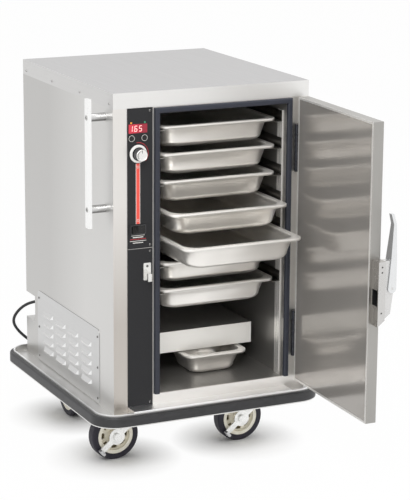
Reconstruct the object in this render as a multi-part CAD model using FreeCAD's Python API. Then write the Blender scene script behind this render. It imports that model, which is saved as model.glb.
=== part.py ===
import FreeCAD, Part
import math
import os

from FreeCAD import Vector

# Heated holding cabinet on casters, door open and two pans drawn out.
# Millimetres. While the pieces are built, X runs to the right from the middle of the body,
# Y runs back from the front face and Z runs up from the floor. The last step moves everything
# so that the origin is the bottom centre of the box round the cabinet, without its cord.

# Body
BODY_WIDTH = 534.0
BODY_DEPTH = 612.0
BODY_HEIGHT = 810.0
CAP_HEIGHT = 39.0
SKIN = 1.5
FRAME_SHEET = 2.0

# Front: left post, black column, door opening
POST_WIDTH = 37.0
COLUMN_WIDTH = 67.5
JAMB_WIDTH = 17.0
RIGHT_POST_WIDTH = 61.5
BOTTOM_RAIL = 15.5
SILL_HEIGHT = 26.5
SILL_PROUD = 3.0
HEADER_DROP = 16.0
COLUMN_SHEET = 2.0

# Cavity
BACK_WALL = 52.0
LINER_SHEET = 1.5
COMPARTMENT_WALL = 28.0

# Door seal
GASKET_WIDTH = 13.5
GASKET_THICK = 10.0
GASKET_ROUND = 4.0
DOOR_GAP = 0.5

# Door and hinges
DOOR_THICK = 28.0
DOOR_SKIN = 1.5
DOOR_BOTTOM = 33.0
DOOR_DOWN = 38.0
DOOR_OPEN_ANGLE = 88.5
HINGE_INSET = 37.0
HINGE_FORWARD = 10.0
HINGE_EDGE = 7.0
HINGE_LEAF = 2.0
HINGE_ARM = 4.0
HINGE_LEAF_REACH = 27.0
KNUCKLE_RADIUS = 5.5
KNUCKLE_END = 25.0
KNUCKLE_MIDDLE = 69.0
KNUCKLE_GAP = 1.0
HINGE_PIN_RADIUS = 3.0
RUNNING_FIT = 0.05
HINGE_UP = 124.0
HINGE_DOWN = 130.5

# Latch on the free edge of the door
LATCH_REACH = 33.0
LATCH_BOTTOM = 283.0
LATCH_HEIGHT = 159.5
LATCH_SET_BACK = 7.0
LATCH_BLOCK = 19.0
LATCH_HOUSING = 25.0
LATCH_HOUSING_WIDTH = 20.0
LATCH_TAPER = 7.0
LATCH_TAPER_HEIGHT = 54.0
LATCH_CUT_HEIGHT = 29.0
POCKET_UP = 50.0
POCKET_HEIGHT = 39.0
POCKET_DEPTH = 15.0
POCKET_WALL = 4.0
LEVER_CHEEK = 3.0
LEVER_GAP = 0.5
LEVER_BACK = 11.0
LEVER_TOP_THICK = 7.5
LEVER_TIP_WIDTH = 12.0
LEVER_LENGTH = 179.5
LEVER_GRIP = 155.0
LEVER_NECK = 80.0
LEVER_PIVOT_HEIGHT = 91.0
LEVER_PIVOT_OUT = 20.0
LEVER_TIP_BEND = 6.5
LEVER_BRIDGE_GAP = 3.0
LEVER_PIN_RADIUS = 3.0
STRIKE_WIDTH = 20.0
STRIKE_HEIGHT = 44.0
STRIKE_UP = 57.0
STRIKE_PLATE = 3.0
STRIKE_ARM_WIDTH = 10.0
STRIKE_ARM_LENGTH = 17.5
STRIKE_ROLLER_RADIUS = 7.0
STRIKE_ROLLER_HEIGHT = 18.0

# Control head on the column: the display hangs from the top of the body, the rest follow it down
CONTROL_X = 64.5
DISPLAY_DOWN = 89.0
DISPLAY_WIDTH = 49.0
DISPLAY_HEIGHT = 22.0
DISPLAY_PROUD = 0.6
LAMP_ABOVE_DISPLAY = 14.6
LAMP_SPACING = 36.0
LAMP_RADIUS = 2.4
LAMP_PROUD = 1.2
BUTTON_BELOW_DISPLAY = 23.5
BUTTON_SPACING = 34.0
BUTTON_RADIUS = 8.4
BUTTON_CLEARANCE = 0.3
BUTTON_PROUD = 1.6
BUTTON_DEPTH = 8.0
KNOB_BELOW_BUTTONS = 38.5
KNOB_SKIRT_RADIUS = 22.5
KNOB_SKIRT_THICK = 5.0
KNOB_GRIP_RADIUS = 14.0
KNOB_GRIP_LENGTH = 22.0
KNOB_STEM_RADIUS = 4.0
KNOB_STEM_LENGTH = 16.0
KNOB_GAP = 0.3
SWITCH_BELOW_KNOB = 189.0
SWITCH_TO_EDGE = 49.0
BEZEL_WIDTH = 48.5
BEZEL_HEIGHT = 24.0
BEZEL_PROUD = 2.5
ROCKER_WIDTH = 35.0
ROCKER_HEIGHT = 18.0
ROCKER_DEPTH = 10.0
ROCKER_PROUD = 2.0
ROCKER_TILT = 7.0
ROCKER_CLEARANCE = 2.0
ROCKER_SIDE_GAP = 0.3
ROCKER_AXLE_RADIUS = 2.0
ROCKER_AXLE_BACK = 2.4
BOARD_WIDTH = 52.0
BOARD_HEIGHT = 110.0
BOARD_THICK = 1.6
BOARD_STAND = 24.0
BOARD_BELOW_KNOB = 99.0
BOARD_POST_RADIUS = 3.0

# Pans: full-size food pans, 325 by 530, that fill the room between the slides, and one small water pan
PAN_SIDE_GAP = 13.0
PAN_BACK_GAP = 9.0
PAN_UNDER_GAP = 11.2
PAN_RIM = 13.0
PAN_LIP = 7.0
PAN_SHOULDER = 13.0
PAN_STEP = 2.0
PAN_TAPER = 7.0
PAN_CORNER = 28.0
PAN_FLOOR_ROUND = 12.0
PAN_WALL = 1.2
PAN_COUNT = 7
PAN_TOP_DROP = 40.0
PAN_OVER_SHROUD = 141.8
PAN_SET_BACK = 21.0
PAN_FOUR_OUT = 72.0
PAN_FIVE_OUT = 150.0
WATER_PAN_WIDTH = 176.0
WATER_PAN_LENGTH = 162.0
WATER_PAN_DEPTH = 57.0
WATER_PAN_SET_BACK = 74.0
WATER_PAN_FROM_RIGHT = 60.5
SEAT_GAP = 0.3

# Racks that carry the pans
UPRIGHT_WIDTH = 25.0
UPRIGHT_THICK = 3.0
UPRIGHT_FRONT = 18.0
UPRIGHT_BACK = 30.0
UPRIGHT_TOP_GAP = 20.0
SLIDE_SHEET = 1.5
SLIDE_WIDTH = 20.0
SLIDE_RISE = 26.0
SLIDE_BACK_GAP = 8.0

# Heater at the bottom of the cavity
SHROUD_FRONT = 125.0
SHROUD_BOTTOM = 103.0
SHROUD_HEIGHT = 55.0
SHROUD_SIDE_GAP = 29.0
SHROUD_SHEET = 1.5
ELEMENT_RADIUS = 4.0
ELEMENT_END_GAP = 52.0
ELEMENT_BEND = 30.0
ELEMENT_BACK = 330.0
ELEMENT_FLANGE_RADIUS = 11.0
ELEMENT_FLANGE_THICK = 4.0

# Base tray and bumper: the lip stands out from the body by a different amount on each side
TRAY_SHEET = 3.0
TRAY_DISH = 3.0
LIP_LEFT = 50.0
LIP_RIGHT = 24.0
LIP_FRONT = 46.0
LIP_BACK = 20.0
LIP_CORNER = 56.0
LIP_THICK = 4.0
LIP_HEIGHT = 14.0
STEP_PAST_OPENING = 6.0
BUMPER_THICK = 10.0
BUMPER_BOTTOM = 15.5
BUMPER_TOP = 9.0
BUMPER_ROUND = 4.5
RAIL_FLANGE = 2.5

# Vent panel and cord recess on the left side
VENT_FRONT = 92.0
VENT_BACK = 88.0
VENT_HEIGHT = 193.0
VENT_BOTTOM = 3.0
VENT_SHEET = 1.2
VENT_CORNER = 12.0
VENT_MARGIN = 20.0
LOUVRE_COLUMNS = 4
LOUVRE_ROWS = 5
LOUVRE_SPACE = 26.5
LOUVRE_HEIGHT = 12.0
LOUVRE_PROUD = 7.0
LOUVRE_END = 52.25
LOUVRE_ROW_PITCH = 25.0
LOUVRE_BOTTOM = 36.0
RECESS_LENGTH = 65.0
RECESS_DEPTH = 42.0
RECESS_BOTTOM = 100.0
RECESS_HEIGHT = 71.0

# Push handle on the left side
HANDLE_STAND = 38.5
HANDLE_THICK = 9.0
HANDLE_WIDTH = 22.0
HANDLE_LENGTH = 320.0
HANDLE_DOWN = 18.0
HANDLE_BACK = 53.0
HANDLE_POST_RADIUS = 10.0
HANDLE_POST_INSET = 46.0

# Casters
WHEEL_RADIUS = 63.5
WHEEL_CLEARANCE = 6.7
TREAD_WIDTH = 32.0
TREAD_ROUND = 5.0
HUB_RADIUS = 48.0
HUB_RIM = 9.0
HUB_WEB = 12.0
HUB_WIDTH = 30.0
HUB_BOSS_RADIUS = 15.0
HUB_BOSS_WIDTH = 37.0
HUB_SLOTS = 8
HUB_SLOT_INNER = 27.0
HUB_SLOT_OUTER = 36.0
HUB_SLOT_ANGLE = 27.0
AXLE_RADIUS = 6.0
AXLE_HEAD_RADIUS = 10.0
AXLE_HEAD_THICK = 6.0
CASTER_TRAIL = 42.0
CASTER_PLATE_LONG = 100.0
CASTER_PLATE_WIDE = 80.0
CASTER_PLATE = 4.0
RACE_RADIUS = 27.0
RACE_HEIGHT = 9.0
SWIVEL_GAP = 0.3
KINGPIN_RADIUS = 6.0
FORK_SHEET = 3.0
FORK_CROWN = 4.0
FORK_CROWN_RADIUS = 30.0
FORK_SIDE_GAP = 0.6
FORK_BOSS_RADIUS = 16.0
FRONT_CASTER_INSET = 89.0
FRONT_CASTER_BACK = 118.0
REAR_CASTER_INSET = 80.0
REAR_CASTER_FRONT = 127.0
BRAKE_SHEET = 3.0
BRAKE_GAP = 0.5
BRAKE_DISC_RADIUS = 21.0
BRAKE_REACH = 58.0
BRAKE_ARM_WIDTH = 15.0
BRAKE_PAD = 12.0
BRAKE_ANGLE = 39.0

# Screw heads
SCREW_RADIUS = 3.2
SCREW_HEAD = 1.6
CAP_SCREWS = 4
CAP_SCREW_INSET = 24.0
CAP_SCREW_DOWN = 28.0
VENT_SCREW_INSET = 11.0
COLUMN_SCREW_INSET = 8.0

# Supply cord, 8 mm over its jacket
CORD_RADIUS = 4.0
GLAND_LENGTH = 28.0
GLAND_FLANGE = 4.0
GLAND_FLANGE_RADIUS = 12.0
GLAND_RADIUS = 9.0
GLAND_TIP_RADIUS = 6.0
GLAND_IN = 21.0
GLAND_HEIGHT_AT = 148.0
CORD_TURNS = 4
COIL_RADIUS = 44.0
COIL_X = 60.0
COIL_BACK = 215.0
CORD_DROP = ((-18, 46, -12), (-50, 80, -62), (-12, 110, -116),
             (44, 128, -168), (88, 136, -222), (126, 140, -268))
CORD_LEAD = ((-140, 4, 6), (-66, 0, 4), (0, 0, 4))
PLUG_LENGTH = 46.0
PLUG_RADIUS = 16.0
PLUG_NECK_RADIUS = 8.0
PLUG_NECK_LENGTH = 24.0
BLADE_LENGTH = 17.0
BLADE_THICK = 1.6
BLADE_HEIGHT = 6.4
BLADE_SPACING = 12.7
EARTH_RADIUS = 2.4
PLUG_AWAY = 78.0

# Worked out from the sizes above
LEFT = -BODY_WIDTH / 2
RIGHT = BODY_WIDTH / 2
WHEEL_TOP = 2 * WHEEL_RADIUS + WHEEL_CLEARANCE
PLATE_BOTTOM = WHEEL_TOP + FORK_CROWN + SWIVEL_GAP + RACE_HEIGHT
TRAY_BOTTOM = PLATE_BOTTOM + CASTER_PLATE
FLOOR = TRAY_BOTTOM + TRAY_SHEET + TRAY_DISH
BODY_TOP = FLOOR + BODY_HEIGHT
CAP_BOTTOM = BODY_TOP - CAP_HEIGHT
COLUMN_LEFT = LEFT + POST_WIDTH
COLUMN_RIGHT = COLUMN_LEFT + COLUMN_WIDTH
OPENING_LEFT = COLUMN_RIGHT + JAMB_WIDTH
OPENING_RIGHT = RIGHT - RIGHT_POST_WIDTH
OPENING_BOTTOM = FLOOR + BOTTOM_RAIL + SILL_HEIGHT
OPENING_TOP = CAP_BOTTOM - HEADER_DROP
CAVITY_BACK = BODY_DEPTH - BACK_WALL
CONTROL_AT_X = LEFT + CONTROL_X
DISPLAY_Z = BODY_TOP - DISPLAY_DOWN
BUTTON_Z = DISPLAY_Z - BUTTON_BELOW_DISPLAY
KNOB_Z = BUTTON_Z - KNOB_BELOW_BUTTONS
SWITCH_Z = KNOB_Z - SWITCH_BELOW_KNOB
CONTROL_BOTTOM = SWITCH_Z - SWITCH_TO_EDGE
PAN_MIDDLE = (OPENING_LEFT + OPENING_RIGHT) / 2
PAN_WIDTH = OPENING_RIGHT - OPENING_LEFT - 2 * PAN_SIDE_GAP
PAN_LENGTH = CAVITY_BACK - PAN_BACK_GAP - PAN_SET_BACK
PAN_TOP_RIM = OPENING_TOP - PAN_TOP_DROP
PAN_LOW_RIM = FLOOR + SHROUD_BOTTOM + SHROUD_HEIGHT + PAN_OVER_SHROUD
PAN_PITCH = (PAN_TOP_RIM - PAN_LOW_RIM) / (PAN_COUNT - 1)
PAN_DEPTH = PAN_PITCH - PAN_UNDER_GAP
COLUMN_FACE = -COLUMN_SHEET
VENT_LENGTH = BODY_DEPTH - VENT_FRONT - VENT_BACK
LOUVRE_COLUMN_PITCH = (VENT_LENGTH - 2 * LOUVRE_END + LOUVRE_SPACE) / LOUVRE_COLUMNS
LOUVRE_LENGTH = LOUVRE_COLUMN_PITCH - LOUVRE_SPACE
HINGE_X = RIGHT - HINGE_INSET
HINGE_Y = -HINGE_FORWARD
HINGE_AXIS = Vector(HINGE_X, HINGE_Y, 0)
DOOR_INNER = -(GASKET_THICK + DOOR_GAP)
DOOR_OUTER = DOOR_INNER - DOOR_THICK
DOOR_RIGHT = HINGE_X - HINGE_EDGE
DOOR_LEFT = COLUMN_RIGHT
DOOR_LOW = FLOOR + DOOR_BOTTOM
DOOR_TOP = BODY_TOP - DOOR_DOWN
HINGE_HEIGHTS = (DOOR_LOW + HINGE_UP, DOOR_TOP - HINGE_DOWN)
CROWN_TOP = PLATE_BOTTOM - RACE_HEIGHT - SWIVEL_GAP
UP = Vector(0, 0, 1)
BACK = Vector(0, 1, 0)
RIGHTWARDS = Vector(1, 0, 0)


def block(x0, x1, y0, y1, z0, z1):
    """Box between two values on each axis."""
    return Part.makeBox(x1 - x0, y1 - y0, z1 - z0, Vector(x0, y0, z0))


def rod(radius, start, end):
    """Round bar between two points."""
    way = end - start
    return Part.makeCylinder(radius, way.Length, start, way)


def fused(pieces):
    """One solid from pieces that overlap or meet."""
    shape = pieces[0]
    for piece in pieces[1:]:
        shape = shape.fuse(piece)
    return shape.removeSplitter()


def group(pieces):
    """Separate solids kept in one node."""
    return Part.makeCompound(pieces)


def rounded_outline(x0, x1, y0, y1, radius, z):
    """Closed wire of a rectangle with round corners."""
    points = []
    for index, (x, y) in enumerate(((x1, y1), (x0, y1), (x0, y0), (x1, y0))):
        turn = 90.0 * index
        cx = x - radius if x == x1 else x + radius
        cy = y - radius if y == y1 else y + radius
        arc = []
        for step in (0.0, 45.0, 90.0):
            angle = math.radians(turn + step)
            arc.append(Vector(cx + radius * math.cos(angle), cy + radius * math.sin(angle), z))
        points.append(arc)
    edges = []
    for index, arc in enumerate(points):
        edges.append(Part.Arc(arc[0], arc[1], arc[2]).toShape())
        following = points[(index + 1) % len(points)][0]
        if (following - arc[2]).Length > 1e-6:
            edges.append(Part.LineSegment(arc[2], following).toShape())
    return Part.Wire(edges)


def rounded_block(x0, x1, y0, y1, radius, z0, z1):
    """Upright prism with round vertical edges."""
    face = Part.Face(rounded_outline(x0, x1, y0, y1, radius, z0))
    return face.extrude(Vector(0, 0, z1 - z0))


def prism(points, along):
    """Solid from a closed outline of points pushed along a vector."""
    return Part.Face(Part.makePolygon(points + [points[0]])).extrude(along)


def edges_along(shape, direction, test):
    """Straight edges that run along a direction and pass a test on their middle point."""
    found = []
    for edge in shape.Edges:
        if edge.Curve.TypeId != "Part::GeomLine":
            continue
        way = edge.Vertexes[-1].Point - edge.Vertexes[0].Point
        if abs(way.normalize().dot(direction)) > 0.999 and test(edge.CenterOfMass):
            found.append(edge)
    return found


def base_slab(grow, z0, z1):
    """Slab with the outline of the lip's outside, grown outwards."""
    return rounded_block(LEFT - LIP_LEFT - grow, RIGHT + LIP_RIGHT + grow,
                         -LIP_FRONT - grow, BODY_DEPTH + LIP_BACK + grow, LIP_CORNER + grow, z0, z1)


# Base


def base_tray():
    """Dished tray: upturned lip, low corners, a step under the door and the rail that holds the bumper."""
    pan = base_slab(-LIP_THICK, TRAY_BOTTOM, TRAY_BOTTOM + TRAY_SHEET)
    low = FLOOR - TRAY_DISH
    inside = base_slab(-LIP_THICK, low, FLOOR)
    reach = BODY_DEPTH / 2
    across = block(LEFT - reach, RIGHT + reach, 0, BODY_DEPTH, low, FLOOR)
    along = block(LEFT, RIGHT, -reach, BODY_DEPTH + reach, low, FLOOR)
    raised = inside.common(across.fuse(along))
    step = block(COLUMN_LEFT, OPENING_RIGHT + STEP_PAST_OPENING, LIP_THICK - LIP_FRONT, 0,
                 FLOOR, FLOOR + BOTTOM_RAIL)
    rail_low = FLOOR - BUMPER_BOTTOM - RAIL_FLANGE
    rail_high = FLOOR - BUMPER_BOTTOM
    lip_top = FLOOR + LIP_HEIGHT
    lip = base_slab(0.0, rail_low, lip_top).cut(base_slab(-LIP_THICK, rail_low, lip_top))
    flange = base_slab(BUMPER_THICK, rail_low, rail_high).cut(base_slab(0.0, rail_low, rail_high))
    return fused([pan, raised, step, lip, flange])


def bumper():
    """Soft bumper that runs all the way round the rail, rounded along its outer top edge."""
    low = FLOOR - BUMPER_BOTTOM
    top = FLOOR + BUMPER_TOP
    whole = base_slab(BUMPER_THICK, low, top)
    rim = [edge for edge in whole.Edges if edge.CenterOfMass.z > top - 0.01]
    return whole.makeFillet(BUMPER_ROUND, rim).cut(base_slab(0.0, low, top))


# Outer skins


def recess_box(grow=0.0):
    """Space of the cord recess, open to the left and to the back."""
    low = FLOOR + RECESS_BOTTOM - grow
    high = FLOOR + RECESS_BOTTOM + RECESS_HEIGHT + grow
    front = BODY_DEPTH - RECESS_LENGTH - grow
    return block(LEFT - 1, LEFT + RECESS_DEPTH + grow, front, BODY_DEPTH + 1, low, high)


def vent_hole():
    """Hole in the left side behind the vent panel."""
    low = FLOOR + VENT_BOTTOM + VENT_MARGIN
    high = FLOOR + VENT_BOTTOM + VENT_HEIGHT - VENT_MARGIN
    front = VENT_FRONT + VENT_MARGIN
    back = VENT_FRONT + VENT_LENGTH - VENT_MARGIN
    return block(LEFT - 1, LEFT + SKIN + 1, front, back, low, high)


def left_side_panel():
    """Left skin with the vent hole and the folded cord recess."""
    sheet = block(LEFT, LEFT + SKIN, FRAME_SHEET, BODY_DEPTH - SKIN, FLOOR, CAP_BOTTOM)
    inside = block(LEFT, RIGHT, 0, BODY_DEPTH - SKIN, FLOOR, CAP_BOTTOM)
    pocket = recess_box(SKIN).common(inside)
    shell = sheet.cut(vent_hole()).fuse(pocket).cut(recess_box())
    return shell.cut(gland_hole()).removeSplitter()


def right_side_panel():
    """Plain right skin."""
    return block(RIGHT - SKIN, RIGHT, FRAME_SHEET, BODY_DEPTH - SKIN, FLOOR, CAP_BOTTOM)


def rear_panel():
    """Back skin, cut away at the cord recess."""
    sheet = block(LEFT, RIGHT, BODY_DEPTH - SKIN, BODY_DEPTH, FLOOR, CAP_BOTTOM)
    return sheet.cut(recess_box())


def top_cap():
    """Folded lid that closes the body."""
    outside = block(LEFT, RIGHT, 0, BODY_DEPTH, CAP_BOTTOM, BODY_TOP)
    inside = block(LEFT + SKIN, RIGHT - SKIN, SKIN, BODY_DEPTH - SKIN, CAP_BOTTOM, BODY_TOP - FRAME_SHEET)
    return outside.cut(inside)


def front_frame():
    """Posts, header, bottom rail and sill round the door opening."""
    sheet = block(LEFT, RIGHT, 0, FRAME_SHEET, FLOOR, CAP_BOTTOM)
    opening = block(OPENING_LEFT, OPENING_RIGHT, -1, FRAME_SHEET + 1, OPENING_BOTTOM, OPENING_TOP)
    sill = block(COLUMN_RIGHT, DOOR_RIGHT, -SILL_PROUD, 0, FLOOR + BOTTOM_RAIL, OPENING_BOTTOM)
    shape = sheet.cut(opening).fuse(sill)
    for hole in control_holes():
        shape = shape.cut(hole)
    return shape.removeSplitter()


# Control column


def control_holes():
    """Holes through the column for the buttons, the knob stem and the rocker."""
    holes = []
    for x in button_places():
        holes.append(cross_hole(BUTTON_RADIUS + BUTTON_CLEARANCE, x, BUTTON_Z))
    holes.append(cross_hole(KNOB_STEM_RADIUS, CONTROL_AT_X, KNOB_Z))
    half_width = ROCKER_WIDTH / 2 + ROCKER_CLEARANCE
    half_height = ROCKER_HEIGHT / 2 + ROCKER_SIDE_GAP
    middle = SWITCH_Z
    depth = ROCKER_DEPTH + BEZEL_PROUD
    holes.append(block(CONTROL_AT_X - half_width, CONTROL_AT_X + half_width, -depth, depth,
                       middle - half_height, middle + half_height))
    return holes


def cross_hole(radius, x, z):
    """Round hole that runs front to back through the column."""
    reach = KNOB_STEM_LENGTH
    return rod(radius, Vector(x, -reach, z), Vector(x, reach, z))


def button_places():
    """X of the two buttons."""
    return (CONTROL_AT_X - BUTTON_SPACING / 2, CONTROL_AT_X + BUTTON_SPACING / 2)


def control_panel():
    """Upper black panel with the raised switch bezel."""
    sheet = block(COLUMN_LEFT, COLUMN_RIGHT, COLUMN_FACE, 0, CONTROL_BOTTOM, CAP_BOTTOM)
    middle = SWITCH_Z
    bezel = block(CONTROL_AT_X - BEZEL_WIDTH / 2, CONTROL_AT_X + BEZEL_WIDTH / 2,
                  COLUMN_FACE - BEZEL_PROUD, COLUMN_FACE,
                  middle - BEZEL_HEIGHT / 2, middle + BEZEL_HEIGHT / 2)
    corners = edges_along(bezel, BACK, lambda point: True)
    shape = sheet.fuse(bezel.makeFillet(BEZEL_PROUD, corners))
    for hole in control_holes():
        shape = shape.cut(hole)
    bearing = RUNNING_FIT + ROCKER_AXLE_RADIUS
    return shape.cut(rocker_axle(bearing, BEZEL_HEIGHT)).removeSplitter()


def lower_panel():
    """Plain black panel under the controls."""
    return block(COLUMN_LEFT, COLUMN_RIGHT, COLUMN_FACE, 0, FLOOR + BOTTOM_RAIL, CONTROL_BOTTOM)


def display_window():
    """Tinted window over the temperature digits."""
    middle = DISPLAY_Z
    return block(CONTROL_AT_X - DISPLAY_WIDTH / 2, CONTROL_AT_X + DISPLAY_WIDTH / 2,
                 COLUMN_FACE - DISPLAY_PROUD, COLUMN_FACE,
                 middle - DISPLAY_HEIGHT / 2, middle + DISPLAY_HEIGHT / 2)


def indicator_lamps():
    """Two small lamps above the display."""
    lamps = []
    for side in (-1, 1):
        base = Vector(CONTROL_AT_X + side * LAMP_SPACING / 2, COLUMN_FACE, DISPLAY_Z + LAMP_ABOVE_DISPLAY)
        lamps.append(rod(LAMP_RADIUS, base, base - BACK * LAMP_PROUD))
    return group(lamps)


def button(x):
    """Round push button."""
    front = COLUMN_FACE - BUTTON_PROUD
    z = BUTTON_Z
    return rod(BUTTON_RADIUS, Vector(x, front, z), Vector(x, front + BUTTON_DEPTH, z))


def control_knob():
    """Knob with a wide skirt, a round grip and the stem that turns in the panel."""
    z = KNOB_Z
    foot = Vector(CONTROL_AT_X, COLUMN_FACE - KNOB_GAP, z)
    skirt_end = foot - BACK * KNOB_SKIRT_THICK
    grip_end = skirt_end - BACK * KNOB_GRIP_LENGTH
    stem_end = foot + BACK * KNOB_STEM_LENGTH
    stem = rod(KNOB_STEM_RADIUS - RUNNING_FIT, foot, stem_end)
    skirt = rod(KNOB_SKIRT_RADIUS, skirt_end, foot)
    grip = rod(KNOB_GRIP_RADIUS, grip_end, skirt_end)
    return fused([skirt, grip, stem])


def rocker_axle(radius, height):
    """Upright axle that the rocker tilts on."""
    middle = SWITCH_Z
    y = COLUMN_FACE + ROCKER_AXLE_BACK - BEZEL_PROUD
    foot = Vector(CONTROL_AT_X, y, middle - height / 2)
    return rod(radius, foot, foot + UP * height)


def switch_rocker():
    """Rocker paddle, tilted to one side as it rests."""
    middle = SWITCH_Z
    front = COLUMN_FACE - BEZEL_PROUD
    peak = front - ROCKER_PROUD
    half = ROCKER_WIDTH / 2
    low = middle - ROCKER_HEIGHT / 2
    left = CONTROL_AT_X - half
    right = CONTROL_AT_X + half
    heel = front + ROCKER_DEPTH / 2
    outline = [
        Vector(left, peak, low), Vector(CONTROL_AT_X, front, low), Vector(right, peak, low),
        Vector(right, heel, low), Vector(CONTROL_AT_X, front + ROCKER_DEPTH, low), Vector(left, heel, low),
    ]
    body = prism(outline, UP * ROCKER_HEIGHT)
    axle = rocker_axle(ROCKER_AXLE_RADIUS, ROCKER_HEIGHT + 2 * ROCKER_SIDE_GAP + 2)
    shape = fused([body, axle])
    pivot = Vector(CONTROL_AT_X, COLUMN_FACE + ROCKER_AXLE_BACK - BEZEL_PROUD, 0)
    shape.rotate(pivot, UP, ROCKER_TILT)
    return shape


def control_board():
    """Circuit board on posts behind the control panel."""
    low = KNOB_Z - BOARD_BELOW_KNOB - BOARD_HEIGHT / 2
    high = low + BOARD_HEIGHT
    left = CONTROL_AT_X - BOARD_WIDTH / 2
    right = left + BOARD_WIDTH
    face = FRAME_SHEET + BOARD_STAND
    inset = 2 * BOARD_POST_RADIUS
    pieces = [block(left, right, face, face + BOARD_THICK, low, high)]
    for x in (left + inset, right - inset):
        for z in (low + inset, high - inset):
            pieces.append(rod(BOARD_POST_RADIUS, Vector(x, FRAME_SHEET, z), Vector(x, face, z)))
    relay = BOARD_WIDTH / 3
    inner = left + relay
    outer = right - relay
    pieces.append(block(inner, outer, face + BOARD_THICK, face + relay, low + relay, low + 2 * relay))
    pieces.append(block(inner, outer, face - relay / 2, face, high - 2 * relay, high - relay))
    return fused(pieces)


# Cavity


def liner():
    """Inner box of the cavity, open at the front."""
    sheet = LINER_SHEET
    outside = block(OPENING_LEFT - sheet, OPENING_RIGHT + sheet, FRAME_SHEET, CAVITY_BACK + sheet,
                    OPENING_BOTTOM - sheet, OPENING_TOP + sheet)
    inside = block(OPENING_LEFT, OPENING_RIGHT, 0, CAVITY_BACK, OPENING_BOTTOM, OPENING_TOP)
    shape = outside.cut(inside)
    for y in element_legs():
        shape = shape.cut(element_stub(y, ELEMENT_RADIUS + RUNNING_FIT))
    return shape


def insulation():
    """Slabs of wool between the cavity and the skins."""
    sheet = LINER_SHEET
    left = OPENING_LEFT - sheet - COMPARTMENT_WALL
    right = RIGHT - SKIN
    back = BODY_DEPTH - SKIN
    liner_back = CAVITY_BACK + sheet
    low = OPENING_BOTTOM - sheet
    high = OPENING_TOP + sheet
    slabs = [
        block(left, OPENING_LEFT - sheet, FRAME_SHEET, liner_back, low, high),
        block(OPENING_RIGHT + sheet, right, FRAME_SHEET, liner_back, low, high),
        block(left, right, liner_back, back, low, high),
        block(left, right, FRAME_SHEET, back, FLOOR, low),
        block(left, right, FRAME_SHEET, back, high, BODY_TOP - FRAME_SHEET - CAP_HEIGHT / 4),
    ]
    for y in element_legs():
        slabs[0] = slabs[0].cut(element_stub(y, ELEMENT_FLANGE_RADIUS))
    return group(slabs)


def door_gasket():
    """Seal on the left, the top and the right of the opening."""
    low = OPENING_BOTTOM
    left = OPENING_LEFT - GASKET_WIDTH
    right = OPENING_RIGHT + GASKET_WIDTH
    strips = [
        block(left, OPENING_LEFT, -GASKET_THICK, 0, low, OPENING_TOP),
        block(OPENING_RIGHT, right, -GASKET_THICK, 0, low, OPENING_TOP),
        block(left, right, -GASKET_THICK, 0, OPENING_TOP, OPENING_TOP + GASKET_WIDTH),
    ]
    shape = fused(strips)
    front = [edge for edge in shape.Edges if abs(edge.CenterOfMass.y + GASKET_THICK) < 0.01]
    front = [edge for edge in front if edge.Length > 2 * GASKET_WIDTH]
    return shape.makeFillet(GASKET_ROUND, front)


def rack_uprights():
    """Four upright strips that the slides hang on."""
    strips = []
    back = CAVITY_BACK - UPRIGHT_BACK - UPRIGHT_WIDTH
    for y in (UPRIGHT_FRONT, back):
        for x in (OPENING_LEFT, OPENING_RIGHT - UPRIGHT_THICK):
            strips.append(block(x, x + UPRIGHT_THICK, y, y + UPRIGHT_WIDTH,
                                OPENING_BOTTOM, OPENING_TOP - UPRIGHT_TOP_GAP))
    return group(strips)


def rim_height(index):
    """Top of a pan's rim; pan 0 is the highest."""
    return PAN_TOP_RIM - index * PAN_PITCH


def pan_slides():
    """One pair of angle slides for each pan."""
    slides = []
    back = CAVITY_BACK - SLIDE_BACK_GAP
    for index in range(PAN_COUNT):
        shelf = rim_height(index) - PAN_LIP - SEAT_GAP
        wall = OPENING_LEFT + UPRIGHT_THICK
        low = shelf - SLIDE_SHEET
        level = block(wall, wall + SLIDE_WIDTH, UPRIGHT_FRONT, back, low, shelf)
        upright = block(wall, wall + SLIDE_SHEET, UPRIGHT_FRONT, back, low, shelf + SLIDE_RISE)
        left = fused([level, upright])
        right = left.mirror(Vector(PAN_MIDDLE, 0, 0), RIGHTWARDS)
        slides += [left, right]
    return group(slides)


def dish(middle_x, front, rim, width, length, depth):
    """Open pan: rim with a turned-down lip, stacking shoulder, tapering walls and a rounded floor."""
    left = middle_x - width / 2
    floor = rim - depth

    def outline(inset, corner, z):
        right = left + width - inset
        back = front + length - inset
        return rounded_outline(left + inset, right, front + inset, back, corner, z)

    def cup(shrink):
        top_in = PAN_RIM + shrink
        step_in = top_in + PAN_STEP
        neck = rim - PAN_SHOULDER + shrink
        bottom = floor + shrink
        shoulder = Part.Face(outline(top_in, PAN_CORNER, neck)).extrude(UP * (rim - neck))
        lower = outline(step_in + PAN_TAPER, PAN_CORNER - PAN_TAPER / 2, bottom)
        body = Part.makeLoft([lower, outline(step_in, PAN_CORNER, neck)], True, True)
        ring = [edge for edge in body.Edges if edge.BoundBox.ZMax < bottom + 0.01]
        return body.makeFillet(PAN_FLOOR_ROUND - shrink, ring).fuse(shoulder)

    def slab(inset, low):
        return Part.Face(outline(inset, PAN_CORNER - inset, low)).extrude(UP * (rim - low))

    lip = slab(0.0, rim - PAN_LIP).cut(slab(PAN_WALL, rim - PAN_LIP))
    sheet = slab(0.0, rim - PAN_WALL)
    return cup(0.0).fuse(sheet).fuse(lip).cut(cup(PAN_WALL)).removeSplitter()


def food_pan(index):
    """Full-size food pan; pans 4 and 5 from the top are drawn out."""
    out = {3: PAN_FOUR_OUT, 4: PAN_FIVE_OUT}.get(index, 0.0)
    front = PAN_SET_BACK - out
    return dish(PAN_MIDDLE, front, rim_height(index), PAN_WIDTH, PAN_LENGTH, PAN_DEPTH)


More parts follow.
